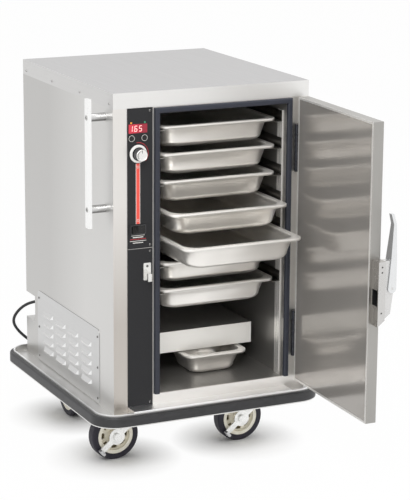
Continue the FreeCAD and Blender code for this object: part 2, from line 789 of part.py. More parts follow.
def water_pan():
    """Small water pan on the cavity floor."""
    middle = OPENING_RIGHT - WATER_PAN_FROM_RIGHT - WATER_PAN_WIDTH / 2
    rim = OPENING_BOTTOM + SEAT_GAP + WATER_PAN_DEPTH
    return dish(middle, WATER_PAN_SET_BACK, rim, WATER_PAN_WIDTH, WATER_PAN_LENGTH, WATER_PAN_DEPTH)


# Heater


def heater_shroud():
    """Cover over the heating element, fixed to the left and the back of the cavity."""
    low = FLOOR + SHROUD_BOTTOM
    high = low + SHROUD_HEIGHT
    right = OPENING_RIGHT - SHROUD_SIDE_GAP
    back = CAVITY_BACK
    top = block(OPENING_LEFT, right, SHROUD_FRONT, back, high - SHROUD_SHEET, high)
    front = block(OPENING_LEFT, right, SHROUD_FRONT, SHROUD_FRONT + SHROUD_SHEET, low, high)
    side = block(right - SHROUD_SHEET, right, SHROUD_FRONT, back, low, high)
    left_notch = block(OPENING_LEFT, OPENING_LEFT + UPRIGHT_THICK, 0, back, low, high)
    shape = fused([top, front, side])
    return shape.cut(left_notch.common(rack_uprights()))


def element_legs():
    """Y of the two legs of the heating element."""
    return (ELEMENT_BACK - ELEMENT_BEND, ELEMENT_BACK + ELEMENT_BEND)


def element_height():
    """Height of the heating element, midway in the shroud."""
    return FLOOR + SHROUD_BOTTOM + SHROUD_HEIGHT / 2


def element_stub(y, radius):
    """Straight stretch of an element leg through the left wall."""
    start = Vector(OPENING_LEFT - LINER_SHEET - COMPARTMENT_WALL, y, element_height())
    return rod(radius, start, start + RIGHTWARDS * (COMPARTMENT_WALL + LINER_SHEET))


def heating_element():
    """Hairpin element with a flange on each leg where it passes the wall."""
    z = element_height()
    start = OPENING_LEFT - LINER_SHEET - COMPARTMENT_WALL
    turn = OPENING_RIGHT - SHROUD_SIDE_GAP - ELEMENT_END_GAP
    near, far = element_legs()
    near_bend = Vector(turn, near, z)
    far_bend = Vector(turn, far, z)
    crown = Vector(turn + ELEMENT_BEND, ELEMENT_BACK, z)
    path = Part.Wire([
        Part.LineSegment(Vector(start, near, z), near_bend).toShape(),
        Part.Arc(near_bend, crown, far_bend).toShape(),
        Part.LineSegment(far_bend, Vector(start, far, z)).toShape(),
    ])
    section = Part.Wire(Part.makeCircle(ELEMENT_RADIUS, Vector(start, near, z), RIGHTWARDS))
    tube = path.makePipeShell([section], True, False)
    flanges = []
    for y in (near, far):
        base = Vector(OPENING_LEFT, y, z)
        flanges.append(rod(ELEMENT_FLANGE_RADIUS, base, base + RIGHTWARDS * ELEMENT_FLANGE_THICK))
    return fused([tube] + flanges)


# Left side fittings


def vent_panel():
    """Louvred cover over the heater compartment."""
    low = FLOOR + VENT_BOTTOM
    high = low + VENT_HEIGHT
    back = VENT_FRONT + VENT_LENGTH
    face = LEFT - VENT_SHEET
    plate = block(face, LEFT, VENT_FRONT, back, low, high)
    corners = edges_along(plate, RIGHTWARDS, lambda point: point.z > high - 1)
    pieces = [plate.makeFillet(VENT_CORNER, corners)]
    first = VENT_FRONT + LOUVRE_END
    for column in range(LOUVRE_COLUMNS):
        for row in range(LOUVRE_ROWS):
            y = first + column * LOUVRE_COLUMN_PITCH
            z = low + LOUVRE_BOTTOM + row * LOUVRE_ROW_PITCH
            pieces.append(louvre(face, y, z))
    return fused(pieces)


def louvre(face, y, z):
    """Raised louvre that opens downwards, with sloping ends."""
    far = y + LOUVRE_LENGTH
    top = z + LOUVRE_HEIGHT
    out = face - LOUVRE_PROUD
    base = [Vector(face, y, z), Vector(face, far, z), Vector(face, far, top), Vector(face, y, top)]
    crest = [Vector(out, y + LOUVRE_PROUD, z), Vector(out, far - LOUVRE_PROUD, z)]
    faces = [
        [base[0], base[1], base[2], base[3]],
        [base[0], crest[0], crest[1], base[1]],
        [crest[0], base[3], base[2], crest[1]],
        [base[0], base[3], crest[0]],
        [base[1], crest[1], base[2]],
    ]
    shell = Part.makeShell([Part.Face(Part.makePolygon(points + [points[0]])) for points in faces])
    return Part.makeSolid(shell)


def push_handle():
    """Flat upright bar on two round posts."""
    bar_right = LEFT - HANDLE_STAND
    high = BODY_TOP - HANDLE_DOWN
    low = high - HANDLE_LENGTH
    front = HANDLE_BACK - HANDLE_WIDTH / 2
    bar = block(bar_right - HANDLE_THICK, bar_right, front, front + HANDLE_WIDTH, low, high)
    pieces = [bar]
    for z in (low + HANDLE_POST_INSET, high - HANDLE_POST_INSET):
        wall = Vector(LEFT, HANDLE_BACK, z)
        pieces.append(rod(HANDLE_POST_RADIUS, wall, wall - RIGHTWARDS * (HANDLE_STAND + HANDLE_THICK / 2)))
    return fused(pieces)


# Door, built closed and then turned open


def opened(shape):
    """Turns a door piece from closed to the angle it rests at."""
    shape.rotate(HINGE_AXIS, UP, DOOR_OPEN_ANGLE)
    return shape


def door_inner_skin():
    """Flat inner skin that meets the seal."""
    return opened(block(DOOR_LEFT, DOOR_RIGHT, DOOR_INNER - DOOR_SKIN, DOOR_INNER, DOOR_LOW, DOOR_TOP))


def door_core_block():
    """Space inside the door's skins."""
    return block(DOOR_LEFT + DOOR_SKIN, DOOR_RIGHT - DOOR_SKIN,
                 DOOR_OUTER + DOOR_SKIN, DOOR_INNER - DOOR_SKIN,
                 DOOR_LOW + DOOR_SKIN, DOOR_TOP - DOOR_SKIN)


def door_outer_skin():
    """Outer skin folded round the four edges of the door."""
    whole = block(DOOR_LEFT, DOOR_RIGHT, DOOR_OUTER, DOOR_INNER - DOOR_SKIN, DOOR_LOW, DOOR_TOP)
    return opened(whole.cut(door_core_block()))


def door_core():
    """Insulation inside the door."""
    return opened(door_core_block())


def hinge_spans(centre):
    """Heights of the lower, middle and upper knuckle of a hinge."""
    half = KNUCKLE_MIDDLE / 2
    return (
        (centre - half - KNUCKLE_GAP - KNUCKLE_END, centre - half - KNUCKLE_GAP),
        (centre - half, centre + half),
        (centre + half + KNUCKLE_GAP, centre + half + KNUCKLE_GAP + KNUCKLE_END),
    )


def knuckle(span, bore):
    """Hollow knuckle on the hinge axis."""
    start = Vector(HINGE_X, HINGE_Y, span[0])
    end = Vector(HINGE_X, HINGE_Y, span[1])
    return rod(KNUCKLE_RADIUS, start, end), rod(bore, start, end)


def hinge_frame_leaves():
    """Two leaves screwed to the right post, each with its pin in two knuckles."""
    solids = []
    for centre in HINGE_HEIGHTS:
        lower, middle, upper = hinge_spans(centre)
        leaf = block(HINGE_X, HINGE_X + HINGE_LEAF_REACH, -HINGE_LEAF, 0, lower[0], upper[1])
        bores = []
        for span in (lower, upper):
            barrel, bore = knuckle(span, HINGE_PIN_RADIUS)
            arm = block(HINGE_X, HINGE_X + KNUCKLE_RADIUS, HINGE_Y, 0, span[0], span[1])
            leaf = leaf.fuse(barrel).fuse(arm)
            bores.append(bore)
        for bore in bores:
            leaf = leaf.cut(bore)
        solids.append(leaf.removeSplitter())
        pin_low = HINGE_AXIS + UP * lower[0]
        solids.append(rod(HINGE_PIN_RADIUS, pin_low, HINGE_AXIS + UP * upper[1]))
    return group(solids)


def hinge_door_leaves():
    """Two leaves on the hinge edge of the door, each with the middle knuckle."""
    solids = []
    for centre in HINGE_HEIGHTS:
        lower, middle, upper = hinge_spans(centre)
        barrel, bore = knuckle(middle, HINGE_PIN_RADIUS + RUNNING_FIT)
        plate = block(DOOR_RIGHT, DOOR_RIGHT + HINGE_LEAF, DOOR_OUTER + DOOR_SKIN, HINGE_Y,
                      middle[0], middle[1])
        arm = block(DOOR_RIGHT, HINGE_X, HINGE_Y - HINGE_ARM, HINGE_Y, middle[0], middle[1])
        solids.append(opened(fused([plate, arm, barrel]).cut(bore)))
    return group(solids)


# Latch


def latch_faces():
    """Y of the latch's inner face, of the joint in it and of its outer face, door closed."""
    inner = DOOR_INNER - LATCH_SET_BACK
    joint = inner - LATCH_BLOCK
    return inner, joint, joint - LATCH_HOUSING


def latch_middle():
    """X of the latch's middle, door closed."""
    return DOOR_LEFT - LATCH_REACH / 2


def lever_pivot():
    """Point on the lever's pin axis, door closed."""
    inner, joint, outer = latch_faces()
    return Vector(latch_middle(), joint - LEVER_PIVOT_OUT, FLOOR + LATCH_BOTTOM + LEVER_PIVOT_HEIGHT)


def latch_outline(x):
    """Side view of block and housing together, tapering down to a slanted foot."""
    inner, joint, outer = latch_faces()
    low = FLOOR + LATCH_BOTTOM
    high = low + LATCH_HEIGHT
    foot = low + LATCH_CUT_HEIGHT
    return [
        Vector(x, inner, low), Vector(x, inner, high), Vector(x, outer, high),
        Vector(x, outer, foot + LATCH_TAPER_HEIGHT), Vector(x, outer + LATCH_TAPER, foot),
    ]


def latch_body():
    """Block on the free edge with the strike pocket, narrow housing outside it, and the lever's pin."""
    inner, joint, outer = latch_faces()
    left = DOOR_LEFT - LATCH_REACH
    low = FLOOR + LATCH_BOTTOM
    high = low + LATCH_HEIGHT
    block_space = block(left, DOOR_LEFT, joint, inner, low, high)
    base = prism(latch_outline(left), RIGHTWARDS * LATCH_REACH).common(block_space)
    pocket = block(left + POCKET_WALL, DOOR_LEFT - POCKET_WALL, inner - POCKET_DEPTH, inner,
                   low + POCKET_UP, low + POCKET_UP + POCKET_HEIGHT)
    housing_left = latch_middle() - LATCH_HOUSING_WIDTH / 2
    housing_space = block(left, DOOR_LEFT, outer, joint, low, high)
    housing = prism(latch_outline(housing_left), RIGHTWARDS * LATCH_HOUSING_WIDTH).common(housing_space)
    half = LATCH_HOUSING_WIDTH / 2 + LEVER_GAP + LEVER_CHEEK
    pivot = lever_pivot()
    pin = rod(LEVER_PIN_RADIUS, pivot - RIGHTWARDS * half, pivot + RIGHTWARDS * half)
    return opened(group([base.cut(pocket), housing.cut(pin), pin]))


def latch_lever():
    """Lever whose two cheeks straddle the housing; it narrows to a tip that bends towards the door."""
    pivot = lever_pivot()
    half = LATCH_HOUSING_WIDTH / 2 + LEVER_GAP + LEVER_CHEEK
    left = pivot.x - half
    front = pivot.y - LEVER_BACK
    neck = pivot.y + LEVER_BACK / 3
    grip = front + LEVER_TOP_THICK
    top = pivot.z + LEVER_LENGTH
    shoulder = pivot.z + LEVER_GRIP
    outline = [
        Vector(left, front, pivot.z), Vector(left, front, shoulder),
        Vector(left, front + LEVER_TIP_BEND, top), Vector(left, grip + LEVER_TIP_BEND, top),
        Vector(left, grip, shoulder), Vector(left, neck, pivot.z + LEVER_NECK),
        Vector(left, pivot.y + LEVER_BACK, pivot.z),
    ]
    across = RIGHTWARDS * (2 * half)
    foot = Vector(left, pivot.y, pivot.z)
    blade = prism(outline, across).fuse(rod(LEVER_BACK, foot, foot + across))
    gap = half - LEVER_CHEEK
    bridge = FLOOR + LATCH_BOTTOM + LATCH_HEIGHT + LEVER_BRIDGE_GAP
    room = block(pivot.x - gap, pivot.x + gap, front, pivot.y + 2 * LEVER_BACK,
                 pivot.z - 2 * LEVER_BACK, bridge)
    bore = rod(LEVER_PIN_RADIUS + RUNNING_FIT, foot, foot + across)
    heel = pivot.z - LEVER_BACK
    tip = LEVER_TIP_WIDTH / 2
    corners = ((-half, heel), (half, heel), (half, bridge), (tip, top), (-tip, top), (-half, bridge))
    silhouette = [Vector(pivot.x + x, front, z) for x, z in corners]
    blade = blade.common(prism(silhouette, BACK * (3 * LEVER_BACK)))
    return opened(blade.cut(room).cut(bore).removeSplitter())


def latch_strike():
    """Strike on the column: plate, arm and the roller that the latch block closes over."""
    middle = latch_middle()
    latch_low = FLOOR + LATCH_BOTTOM
    low = latch_low + STRIKE_UP
    plate_front = COLUMN_FACE - STRIKE_PLATE
    plate = block(middle - STRIKE_WIDTH / 2, middle + STRIKE_WIDTH / 2, plate_front, COLUMN_FACE,
                  low, low + STRIKE_HEIGHT)
    plate = plate.makeFillet(STRIKE_PLATE, edges_along(plate, BACK, lambda point: True))
    roller_low = latch_low + POCKET_UP + (POCKET_HEIGHT - STRIKE_ROLLER_HEIGHT) / 2
    roller_top = roller_low + STRIKE_ROLLER_HEIGHT
    roller_foot = Vector(middle, plate_front - STRIKE_ARM_LENGTH, roller_low)
    roller = rod(STRIKE_ROLLER_RADIUS, roller_foot, roller_foot + UP * STRIKE_ROLLER_HEIGHT)
    half = STRIKE_ARM_WIDTH / 2
    arm = block(middle - half, middle + half, roller_foot.y, plate_front, low, roller_top)
    return fused([plate, arm, roller])


# Casters


def wheel_hub(centre, axis):
    """Hub with a thin slotted web, a rim and a bored boss."""
    def drum(radius, width):
        return rod(radius, centre - axis * (width / 2), centre + axis * (width / 2))

    hub = drum(HUB_RADIUS, HUB_WIDTH).cut(drum(HUB_RADIUS - HUB_RIM, HUB_WIDTH))
    hub = hub.fuse(drum(HUB_RADIUS, HUB_WEB)).fuse(drum(HUB_BOSS_RADIUS, HUB_BOSS_WIDTH))
    ring = drum(HUB_SLOT_OUTER, HUB_WEB).cut(drum(HUB_SLOT_INNER, HUB_WEB))
    wedge = slot_wedge(centre, axis)
    for index in range(HUB_SLOTS):
        cutter = wedge.copy()
        cutter.rotate(centre, axis, index * 360.0 / HUB_SLOTS)
        hub = hub.cut(ring.common(cutter))
    return hub.cut(drum(AXLE_RADIUS + RUNNING_FIT, HUB_BOSS_WIDTH)).removeSplitter()


def slot_wedge(centre, axis):
    """Wedge from the wheel's middle that bounds one slot of the web."""
    half = math.radians(HUB_SLOT_ANGLE / 2)
    reach = HUB_RADIUS
    across = axis.cross(UP)
    side = across * (reach * math.sin(half))
    far = UP * (reach * math.cos(half))
    base = centre - axis * (HUB_WIDTH / 2)
    return prism([base, base + far - side, base + far + side], axis * HUB_WIDTH)


def tyre(centre, axis):
    """Solid tyre with rounded shoulders."""
    start = centre - axis * (TREAD_WIDTH / 2)
    end = centre + axis * (TREAD_WIDTH / 2)
    whole = rod(WHEEL_RADIUS, start, end)
    shoulders = [edge for edge in whole.Edges if edge.Curve.TypeId == "Part::GeomCircle"]
    return whole.makeFillet(TREAD_ROUND, shoulders).cut(rod(HUB_RADIUS, start, end))


def axle_bolt(centre, axis, outside):
    """Axle bolt with a round head at each end; outside is the reach past the fork on the brake side."""
    leg_face = HUB_BOSS_WIDTH / 2 + FORK_SHEET + FORK_SIDE_GAP
    near = centre - axis * (leg_face + outside)
    far = centre + axis * leg_face
    bar = rod(AXLE_RADIUS, near, far)
    near_head = rod(AXLE_HEAD_RADIUS, near - axis * AXLE_HEAD_THICK, near)
    far_head = rod(AXLE_HEAD_RADIUS, far, far + axis * AXLE_HEAD_THICK)
    return fused([bar, near_head, far_head])


def fork_legs(centre, axis, top, half_top):
    """Pair of side plates from the crown down to the axle; top is the middle of the crown."""
    forward = axis.cross(UP)
    inner = HUB_BOSS_WIDTH / 2 + FORK_SIDE_GAP
    axle_hole = rod(AXLE_RADIUS, centre - axis * WHEEL_RADIUS, centre + axis * WHEEL_RADIUS)
    legs = []
    for side in (-1, 1):
        base = axis * (side * inner)
        outline = [
            top + forward * half_top + base,
            top - forward * half_top + base,
            centre - forward * FORK_BOSS_RADIUS + base,
            centre + forward * FORK_BOSS_RADIUS + base,
        ]
        plate = prism(outline, axis * (side * FORK_SHEET))
        eye = rod(FORK_BOSS_RADIUS, centre + base, centre + base + axis * (side * FORK_SHEET))
        legs.append(fused([plate, eye]).cut(axle_hole))
    return legs


def front_swivel(side):
    """Point on a front caster's swivel axis at the tray; side is -1 on the left."""
    return Vector(side * (RIGHT - FRONT_CASTER_INSET), FRONT_CASTER_BACK, TRAY_BOTTOM)


def front_wheel_centre(side):
    """Middle of a front wheel, trailing to the left of its swivel."""
    swivel = front_swivel(side)
    return Vector(swivel.x - CASTER_TRAIL, swivel.y, WHEEL_RADIUS)


def rear_wheel_centre(side):
    """Middle of a rear wheel."""
    return Vector(side * (RIGHT - REAR_CASTER_INSET), BODY_DEPTH - REAR_CASTER_FRONT, WHEEL_RADIUS)


def caster_plates():
    """Front top plates, each with its race and kingpin."""
    plates = []
    for side in (-1, 1):
        at = front_swivel(side)
        plate = block(at.x - CASTER_PLATE_LONG / 2, at.x + CASTER_PLATE_LONG / 2,
                      at.y - CASTER_PLATE_WIDE / 2, at.y + CASTER_PLATE_WIDE / 2, PLATE_BOTTOM, TRAY_BOTTOM)
        race_low = Vector(at.x, at.y, PLATE_BOTTOM - RACE_HEIGHT)
        race = rod(RACE_RADIUS, race_low, Vector(at.x, at.y, PLATE_BOTTOM))
        pin = rod(KINGPIN_RADIUS, Vector(at.x, at.y, CROWN_TOP - FORK_CROWN), race_low)
        plates.append(fused([plate, race, pin]))
    return group(plates)


def front_fork(side):
    """Swivelling fork with its axle bolt."""
    swivel = front_swivel(side)
    centre = front_wheel_centre(side)
    crown_low = CROWN_TOP - FORK_CROWN
    middle = Vector(swivel.x, swivel.y, crown_low)
    crown = rod(FORK_CROWN_RADIUS, middle, Vector(swivel.x, swivel.y, CROWN_TOP))
    legs = fork_legs(centre, BACK, Vector(swivel.x, swivel.y, CROWN_TOP), FORK_BOSS_RADIUS + FORK_SHEET)
    bore = rod(KINGPIN_RADIUS + RUNNING_FIT, middle, Vector(swivel.x, swivel.y, CROWN_TOP))
    outside = BRAKE_GAP + BRAKE_SHEET + BRAKE_GAP
    return group([fused([crown] + legs).cut(bore), axle_bolt(centre, BACK, outside)])


def rear_forks():
    """Two fixed forks with their top plates and axle bolts."""
    solids = []
    for side in (-1, 1):
        centre = rear_wheel_centre(side)
        top = Vector(centre.x, centre.y, TRAY_BOTTOM)
        plate = block(top.x - CASTER_PLATE_WIDE / 2, top.x + CASTER_PLATE_WIDE / 2,
                      top.y - CASTER_PLATE_LONG / 2, top.y + CASTER_PLATE_LONG / 2, PLATE_BOTTOM, TRAY_BOTTOM)
        legs = fork_legs(centre, RIGHTWARDS, top, CASTER_PLATE_LONG / 4)
        solids.append(fused([plate] + legs))
        solids.append(axle_bolt(centre, RIGHTWARDS, 0.0))
    return group(solids)


def brake_pedal(side):
    """Brake bar that turns on the axle outside the fork, with a foot pad at each end."""
    centre = front_wheel_centre(side)
    inner = -(HUB_BOSS_WIDTH / 2 + FORK_SHEET + FORK_SIDE_GAP + BRAKE_GAP)
    outer = inner - BRAKE_SHEET
    face = Vector(centre.x, centre.y + outer, centre.z)
    back = Vector(centre.x, centre.y + inner, centre.z)
    disc = rod(BRAKE_DISC_RADIUS, face, back)
    half = BRAKE_ARM_WIDTH / 2
    arm = block(face.x - BRAKE_REACH, face.x + BRAKE_REACH, face.y, back.y, face.z - half, face.z + half)
    pieces = [disc, arm]
    for end in (-1, 1):
        tip = face.x + end * BRAKE_REACH
        root = tip - end * BRAKE_SHEET
        pieces.append(block(min(tip, root), max(tip, root), face.y - BRAKE_PAD, back.y,
                            face.z - half, face.z + half))
    shape = fused(pieces).cut(rod(AXLE_RADIUS + RUNNING_FIT, face, back))
    shape.rotate(centre, BACK, -BRAKE_ANGLE)
    return shape


# Screw heads on the skins


def screws():
    """Screw heads on the cap, the vent panel, the column and the strike."""
    heads = []
    cap_z = CAP_BOTTOM + CAP_HEIGHT - CAP_SCREW_DOWN
    pitch = (BODY_DEPTH - 2 * CAP_SCREW_INSET) / (CAP_SCREWS - 1)
    for index in range(CAP_SCREWS):
        y = CAP_SCREW_INSET + index * pitch
        heads.append(head(Vector(LEFT, y, cap_z), -RIGHTWARDS))
        heads.append(head(Vector(RIGHT, y, cap_z), RIGHTWARDS))
    low = FLOOR + VENT_BOTTOM + VENT_SCREW_INSET
    high = FLOOR + VENT_BOTTOM + VENT_HEIGHT - VENT_MARGIN
    for y in (VENT_FRONT + VENT_SCREW_INSET, VENT_FRONT + VENT_LENGTH - VENT_SCREW_INSET):
        for z in (low, (low + high) / 2, high):
            heads.append(head(Vector(LEFT - VENT_SHEET, y, z), -RIGHTWARDS))
    x = COLUMN_RIGHT - COLUMN_SCREW_INSET
    rail = FLOOR + BOTTOM_RAIL
    for z in (CAP_BOTTOM - COLUMN_SCREW_INSET, CONTROL_BOTTOM + COLUMN_SCREW_INSET,
              CONTROL_BOTTOM - COLUMN_SCREW_INSET, rail + COLUMN_SCREW_INSET):
        heads.append(head(Vector(x, COLUMN_FACE, z), -BACK))
    strike_top = FLOOR + LATCH_BOTTOM + STRIKE_UP + STRIKE_HEIGHT - COLUMN_SCREW_INSET
    strike_x = latch_middle()
    heads.append(head(Vector(strike_x, COLUMN_FACE - STRIKE_PLATE, strike_top), -BACK))
    return group(heads)


def head(seat, outwards):
    """Screw head on a face."""
    return rod(SCREW_RADIUS, seat, seat + outwards * SCREW_HEAD)


# Supply cord


def gland_seat():
    """Point on the front wall of the recess where the cord comes out."""
    return Vector(LEFT + GLAND_IN, BODY_DEPTH - RECESS_LENGTH, FLOOR + GLAND_HEIGHT_AT)


def gland_hole():
    """Hole for the gland in the front wall of the recess."""
    seat = gland_seat()
    return rod(GLAND_RADIUS + RUNNING_FIT, seat - BACK * (2 * SKIN), seat)


def cord_gland():
    """Strain relief: flange, stem through the wall and a tapering sleeve."""
    seat = gland_seat()
    flange = rod(GLAND_FLANGE_RADIUS, seat, seat + BACK * GLAND_FLANGE)
    stem = rod(GLAND_RADIUS, seat - BACK * (2 * SKIN), seat)
    sleeve_length = GLAND_LENGTH - GLAND_FLANGE
    sleeve = Part.makeCone(GLAND_RADIUS, GLAND_TIP_RADIUS, sleeve_length, seat + BACK * GLAND_FLANGE, BACK)
    return fused([flange, stem, sleeve])


def cord_points():
    """Corners of the cord's route from the gland to the coil behind the cabinet."""
    start = gland_seat() + BACK * GLAND_LENGTH
    coil_front = coil_centre() - BACK * COIL_RADIUS
    drop = [start + Vector(*step) for step in CORD_DROP]
    return [start] + drop + [coil_front + Vector(*step) for step in CORD_LEAD]


def coil_centre():
    """Middle of the coil on the floor behind the cabinet."""
    return Vector(COIL_X, BODY_DEPTH + COIL_BACK, 0)


def bent_path(points):
    """Wire of straight runs joined by tangent arcs, with the arc radii."""
    edges = []
    radii = []
    here = points[0]
    for before, corner, after in zip(points, points[1:], points[2:]):
        into = (corner - before)
        out = (after - corner)
        shorter = min(into.Length, out.Length)
        into.normalize()
        out.normalize()
        turn = into.getAngle(out)
        trim = 0.45 * shorter
        radius = trim / math.tan(turn / 2)
        start = corner - into * trim
        end = corner + out * trim
        bisector = (out - into).normalize()
        centre = corner + bisector * (radius / math.cos(turn / 2))
        middle = centre - bisector * radius
        edges.append(Part.LineSegment(here, start).toShape())
        edges.append(Part.Arc(start, middle, end).toShape())
        radii.append(radius)
        here = end
    edges.append(Part.LineSegment(here, points[-1]).toShape())
    return Part.Wire(edges), radii


def cord_tube():
    """Cord from the gland to the coil."""
    points = cord_points()
    path, radii = bent_path(points)
    section = Part.Wire(Part.makeCircle(CORD_RADIUS, points[0], points[1] - points[0]))
    tube = path.makePipeShell([section], True, False)
    expected = math.pi * CORD_RADIUS ** 2 * path.Length
    print("cord length %.0f, radii" % path.Length, [round(radius) for radius in radii])
    print("cord volume %.0f, section times length %.0f" % (tube.Volume, expected))
    return tube.cut(cord_gland())


def cord_coil():
    """Outer shape of the turns lying on the floor, with the end that leads off to the plug."""
    base = coil_centre()
    top = base + UP * (2 * CORD_RADIUS * (CORD_TURNS + 1))
    ring = rod(COIL_RADIUS + CORD_RADIUS, base, top).cut(rod(COIL_RADIUS - CORD_RADIUS, base, top))
    last_turn = Vector(base.x, base.y - COIL_RADIUS, top.z - CORD_RADIUS)
    tail = rod(CORD_RADIUS, last_turn, plug_start())
    return ring.cut(cord_tube_end()).fuse(tail).cut(plug_neck()).removeSplitter()


def cord_tube_end():
    """Room for the end of the cord where it joins the coil."""
    points = cord_points()
    return rod(CORD_RADIUS, points[-2], points[-1])


def plug_start():
    """Point where the cord enters the plug, in line with the side of the coil."""
    coil = coil_centre()
    return Vector(coil.x + PLUG_AWAY, coil.y - COIL_RADIUS, PLUG_RADIUS)


def plug_neck():
    """Tapering neck of the plug."""
    wide = PLUG_NECK_RADIUS + CORD_RADIUS
    return Part.makeCone(PLUG_NECK_RADIUS, wide, PLUG_NECK_LENGTH, plug_start(), RIGHTWARDS)


def cord_plug():
    """Three-pin plug lying beside the coil."""
    start = plug_start()
    neck_end = start + RIGHTWARDS * PLUG_NECK_LENGTH
    body_end = neck_end + RIGHTWARDS * PLUG_LENGTH
    pieces = [plug_neck(), rod(PLUG_RADIUS, neck_end, body_end)]
    for side in (-1, 1):
        y = start.y + side * BLADE_SPACING / 2
        z = PLUG_RADIUS + BLADE_HEIGHT / 2
        pieces.append(block(body_end.x, body_end.x + BLADE_LENGTH, y - BLADE_THICK / 2, y + BLADE_THICK / 2,
                            z - BLADE_HEIGHT / 2, z + BLADE_HEIGHT / 2))
    earth = Vector(body_end.x, start.y, PLUG_RADIUS - BLADE_HEIGHT)
    pieces.append(rod(EARTH_RADIUS, earth, earth + RIGHTWARDS * BLADE_LENGTH))
    return fused(pieces)


def all_parts():
    """Every node's name and shape."""
    button_left, button_right = button_places()
    parts = {
        "base_tray": base_tray(), "bumper": bumper(), "left_side_panel": left_side_panel(),
        "right_side_panel": right_side_panel(), "rear_panel": rear_panel(), "top_cap": top_cap(),
        "front_frame": front_frame(), "control_panel": control_panel(), "lower_panel": lower_panel(),
        "liner": liner(), "insulation": insulation(), "door_gasket": door_gasket(),
        "rack_uprights": rack_uprights(), "pan_slides": pan_slides(), "heater_shroud": heater_shroud(),
        "heating_element": heating_element(), "control_board": control_board(),
        "display_window": display_window(), "indicator_lamps": indicator_lamps(),
        "button_left": button(button_left), "button_right": button(button_right),
        "control_knob": control_knob(), "switch_rocker": switch_rocker(), "vent_panel": vent_panel(),
        "push_handle": push_handle(), "latch_strike": latch_strike(),
        "hinge_frame_leaves": hinge_frame_leaves(), "hinge_door_leaves": hinge_door_leaves(),
        "door_outer_skin": door_outer_skin(), "door_inner_skin": door_inner_skin(), "door_core": door_core(),
        "latch_body": latch_body(), "latch_lever": latch_lever(), "screws": screws(),
        "caster_plates": caster_plates(), "rear_forks": rear_forks(), "water_pan": water_pan(),
        "cord_gland": cord_gland(), "cord_tube": cord_tube(),
        "cord_coil": cord_coil(), "cord_plug": cord_plug(),
    }
    for index in range(PAN_COUNT):
        parts["pan_%d" % (index + 1)] = food_pan(index)
    for name, side in (("left", -1), ("right", 1)):
        front = front_wheel_centre(side)
        rear = rear_wheel_centre(side)
        parts["front_%s_fork" % name] = front_fork(side)
        parts["front_%s_hub" % name] = wheel_hub(front, BACK)
        parts["front_%s_tyre" % name] = tyre(front, BACK)
        parts["front_%s_brake" % name] = brake_pedal(side)
        parts["rear_%s_hub" % name] = wheel_hub(rear, RIGHTWARDS)
        parts["rear_%s_tyre" % name] = tyre(rear, RIGHTWARDS)
    return parts


def main():
    parts = all_parts()
    front = min(point.Point.y for point in parts["latch_body"].Vertexes)
    back = BODY_DEPTH + LIP_BACK + BUMPER_THICK
    shift = Vector((LIP_LEFT - LIP_RIGHT) / 2, -(front + back) / 2, 0)
    width = BODY_WIDTH + LIP_LEFT + LIP_RIGHT + 2 * BUMPER_THICK
    print("origin shift", [round(value, 4) for value in shift])
    print("size", width, round(back - front, 2), BODY_TOP)
    os.makedirs("parts", exist_ok=True)
    for name, shape in parts.items():
        shape.translate(shift)
        shape.exportStep("parts/%s.step" % name)


main()
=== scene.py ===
import math

import bmesh
import bpy
from mathutils import Matrix, Vector


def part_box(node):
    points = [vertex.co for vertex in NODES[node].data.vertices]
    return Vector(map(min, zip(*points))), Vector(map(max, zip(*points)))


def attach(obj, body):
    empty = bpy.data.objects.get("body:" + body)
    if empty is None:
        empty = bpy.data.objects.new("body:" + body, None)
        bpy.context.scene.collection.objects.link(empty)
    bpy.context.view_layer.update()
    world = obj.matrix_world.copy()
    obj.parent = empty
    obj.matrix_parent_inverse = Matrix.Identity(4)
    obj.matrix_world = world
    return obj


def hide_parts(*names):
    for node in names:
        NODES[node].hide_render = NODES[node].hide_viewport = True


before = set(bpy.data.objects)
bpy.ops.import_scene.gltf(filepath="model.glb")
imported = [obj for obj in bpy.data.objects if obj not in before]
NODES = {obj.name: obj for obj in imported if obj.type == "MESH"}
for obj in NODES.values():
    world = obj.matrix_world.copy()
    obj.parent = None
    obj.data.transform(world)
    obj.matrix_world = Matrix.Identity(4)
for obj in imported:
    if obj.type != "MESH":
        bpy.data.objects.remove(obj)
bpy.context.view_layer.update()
MM = 0.001

# Camera, worked out from the straight edges of the body; the picture is 410 by 500
PICTURE_LONG_SIDE = 500
CAMERA_PLACE = (-2.09455, -4.440898, 1.74875)
CAMERA_YAW = 0.4487
CAMERA_PITCH = 0.2428
CAMERA_ROLL = 0.0069
CAMERA_FOCAL_PIXELS = 1985.35
SENSOR = 36.0
CAMERA_REACH = 100.0

# Directions
UP = Vector((0, 0, 1))
FORWARD = Vector((0, -1, 0))
LEFTWARD = Vector((-1, 0, 0))
RIGHTWARD = Vector((1, 0, 0))

# How finely round forms are drawn, how edges are eased, and how close points count as one
FULL_TURN = 360.0
RING_STEPS = 96
EASE_SEGMENTS = 2
EASE_ROUND = 0.5
EASE_ANGLE = math.radians(50.0)
THIN_EASE = 1 / 3
WELD = 0.001 * MM
WELD_STEP = 0.01 * MM

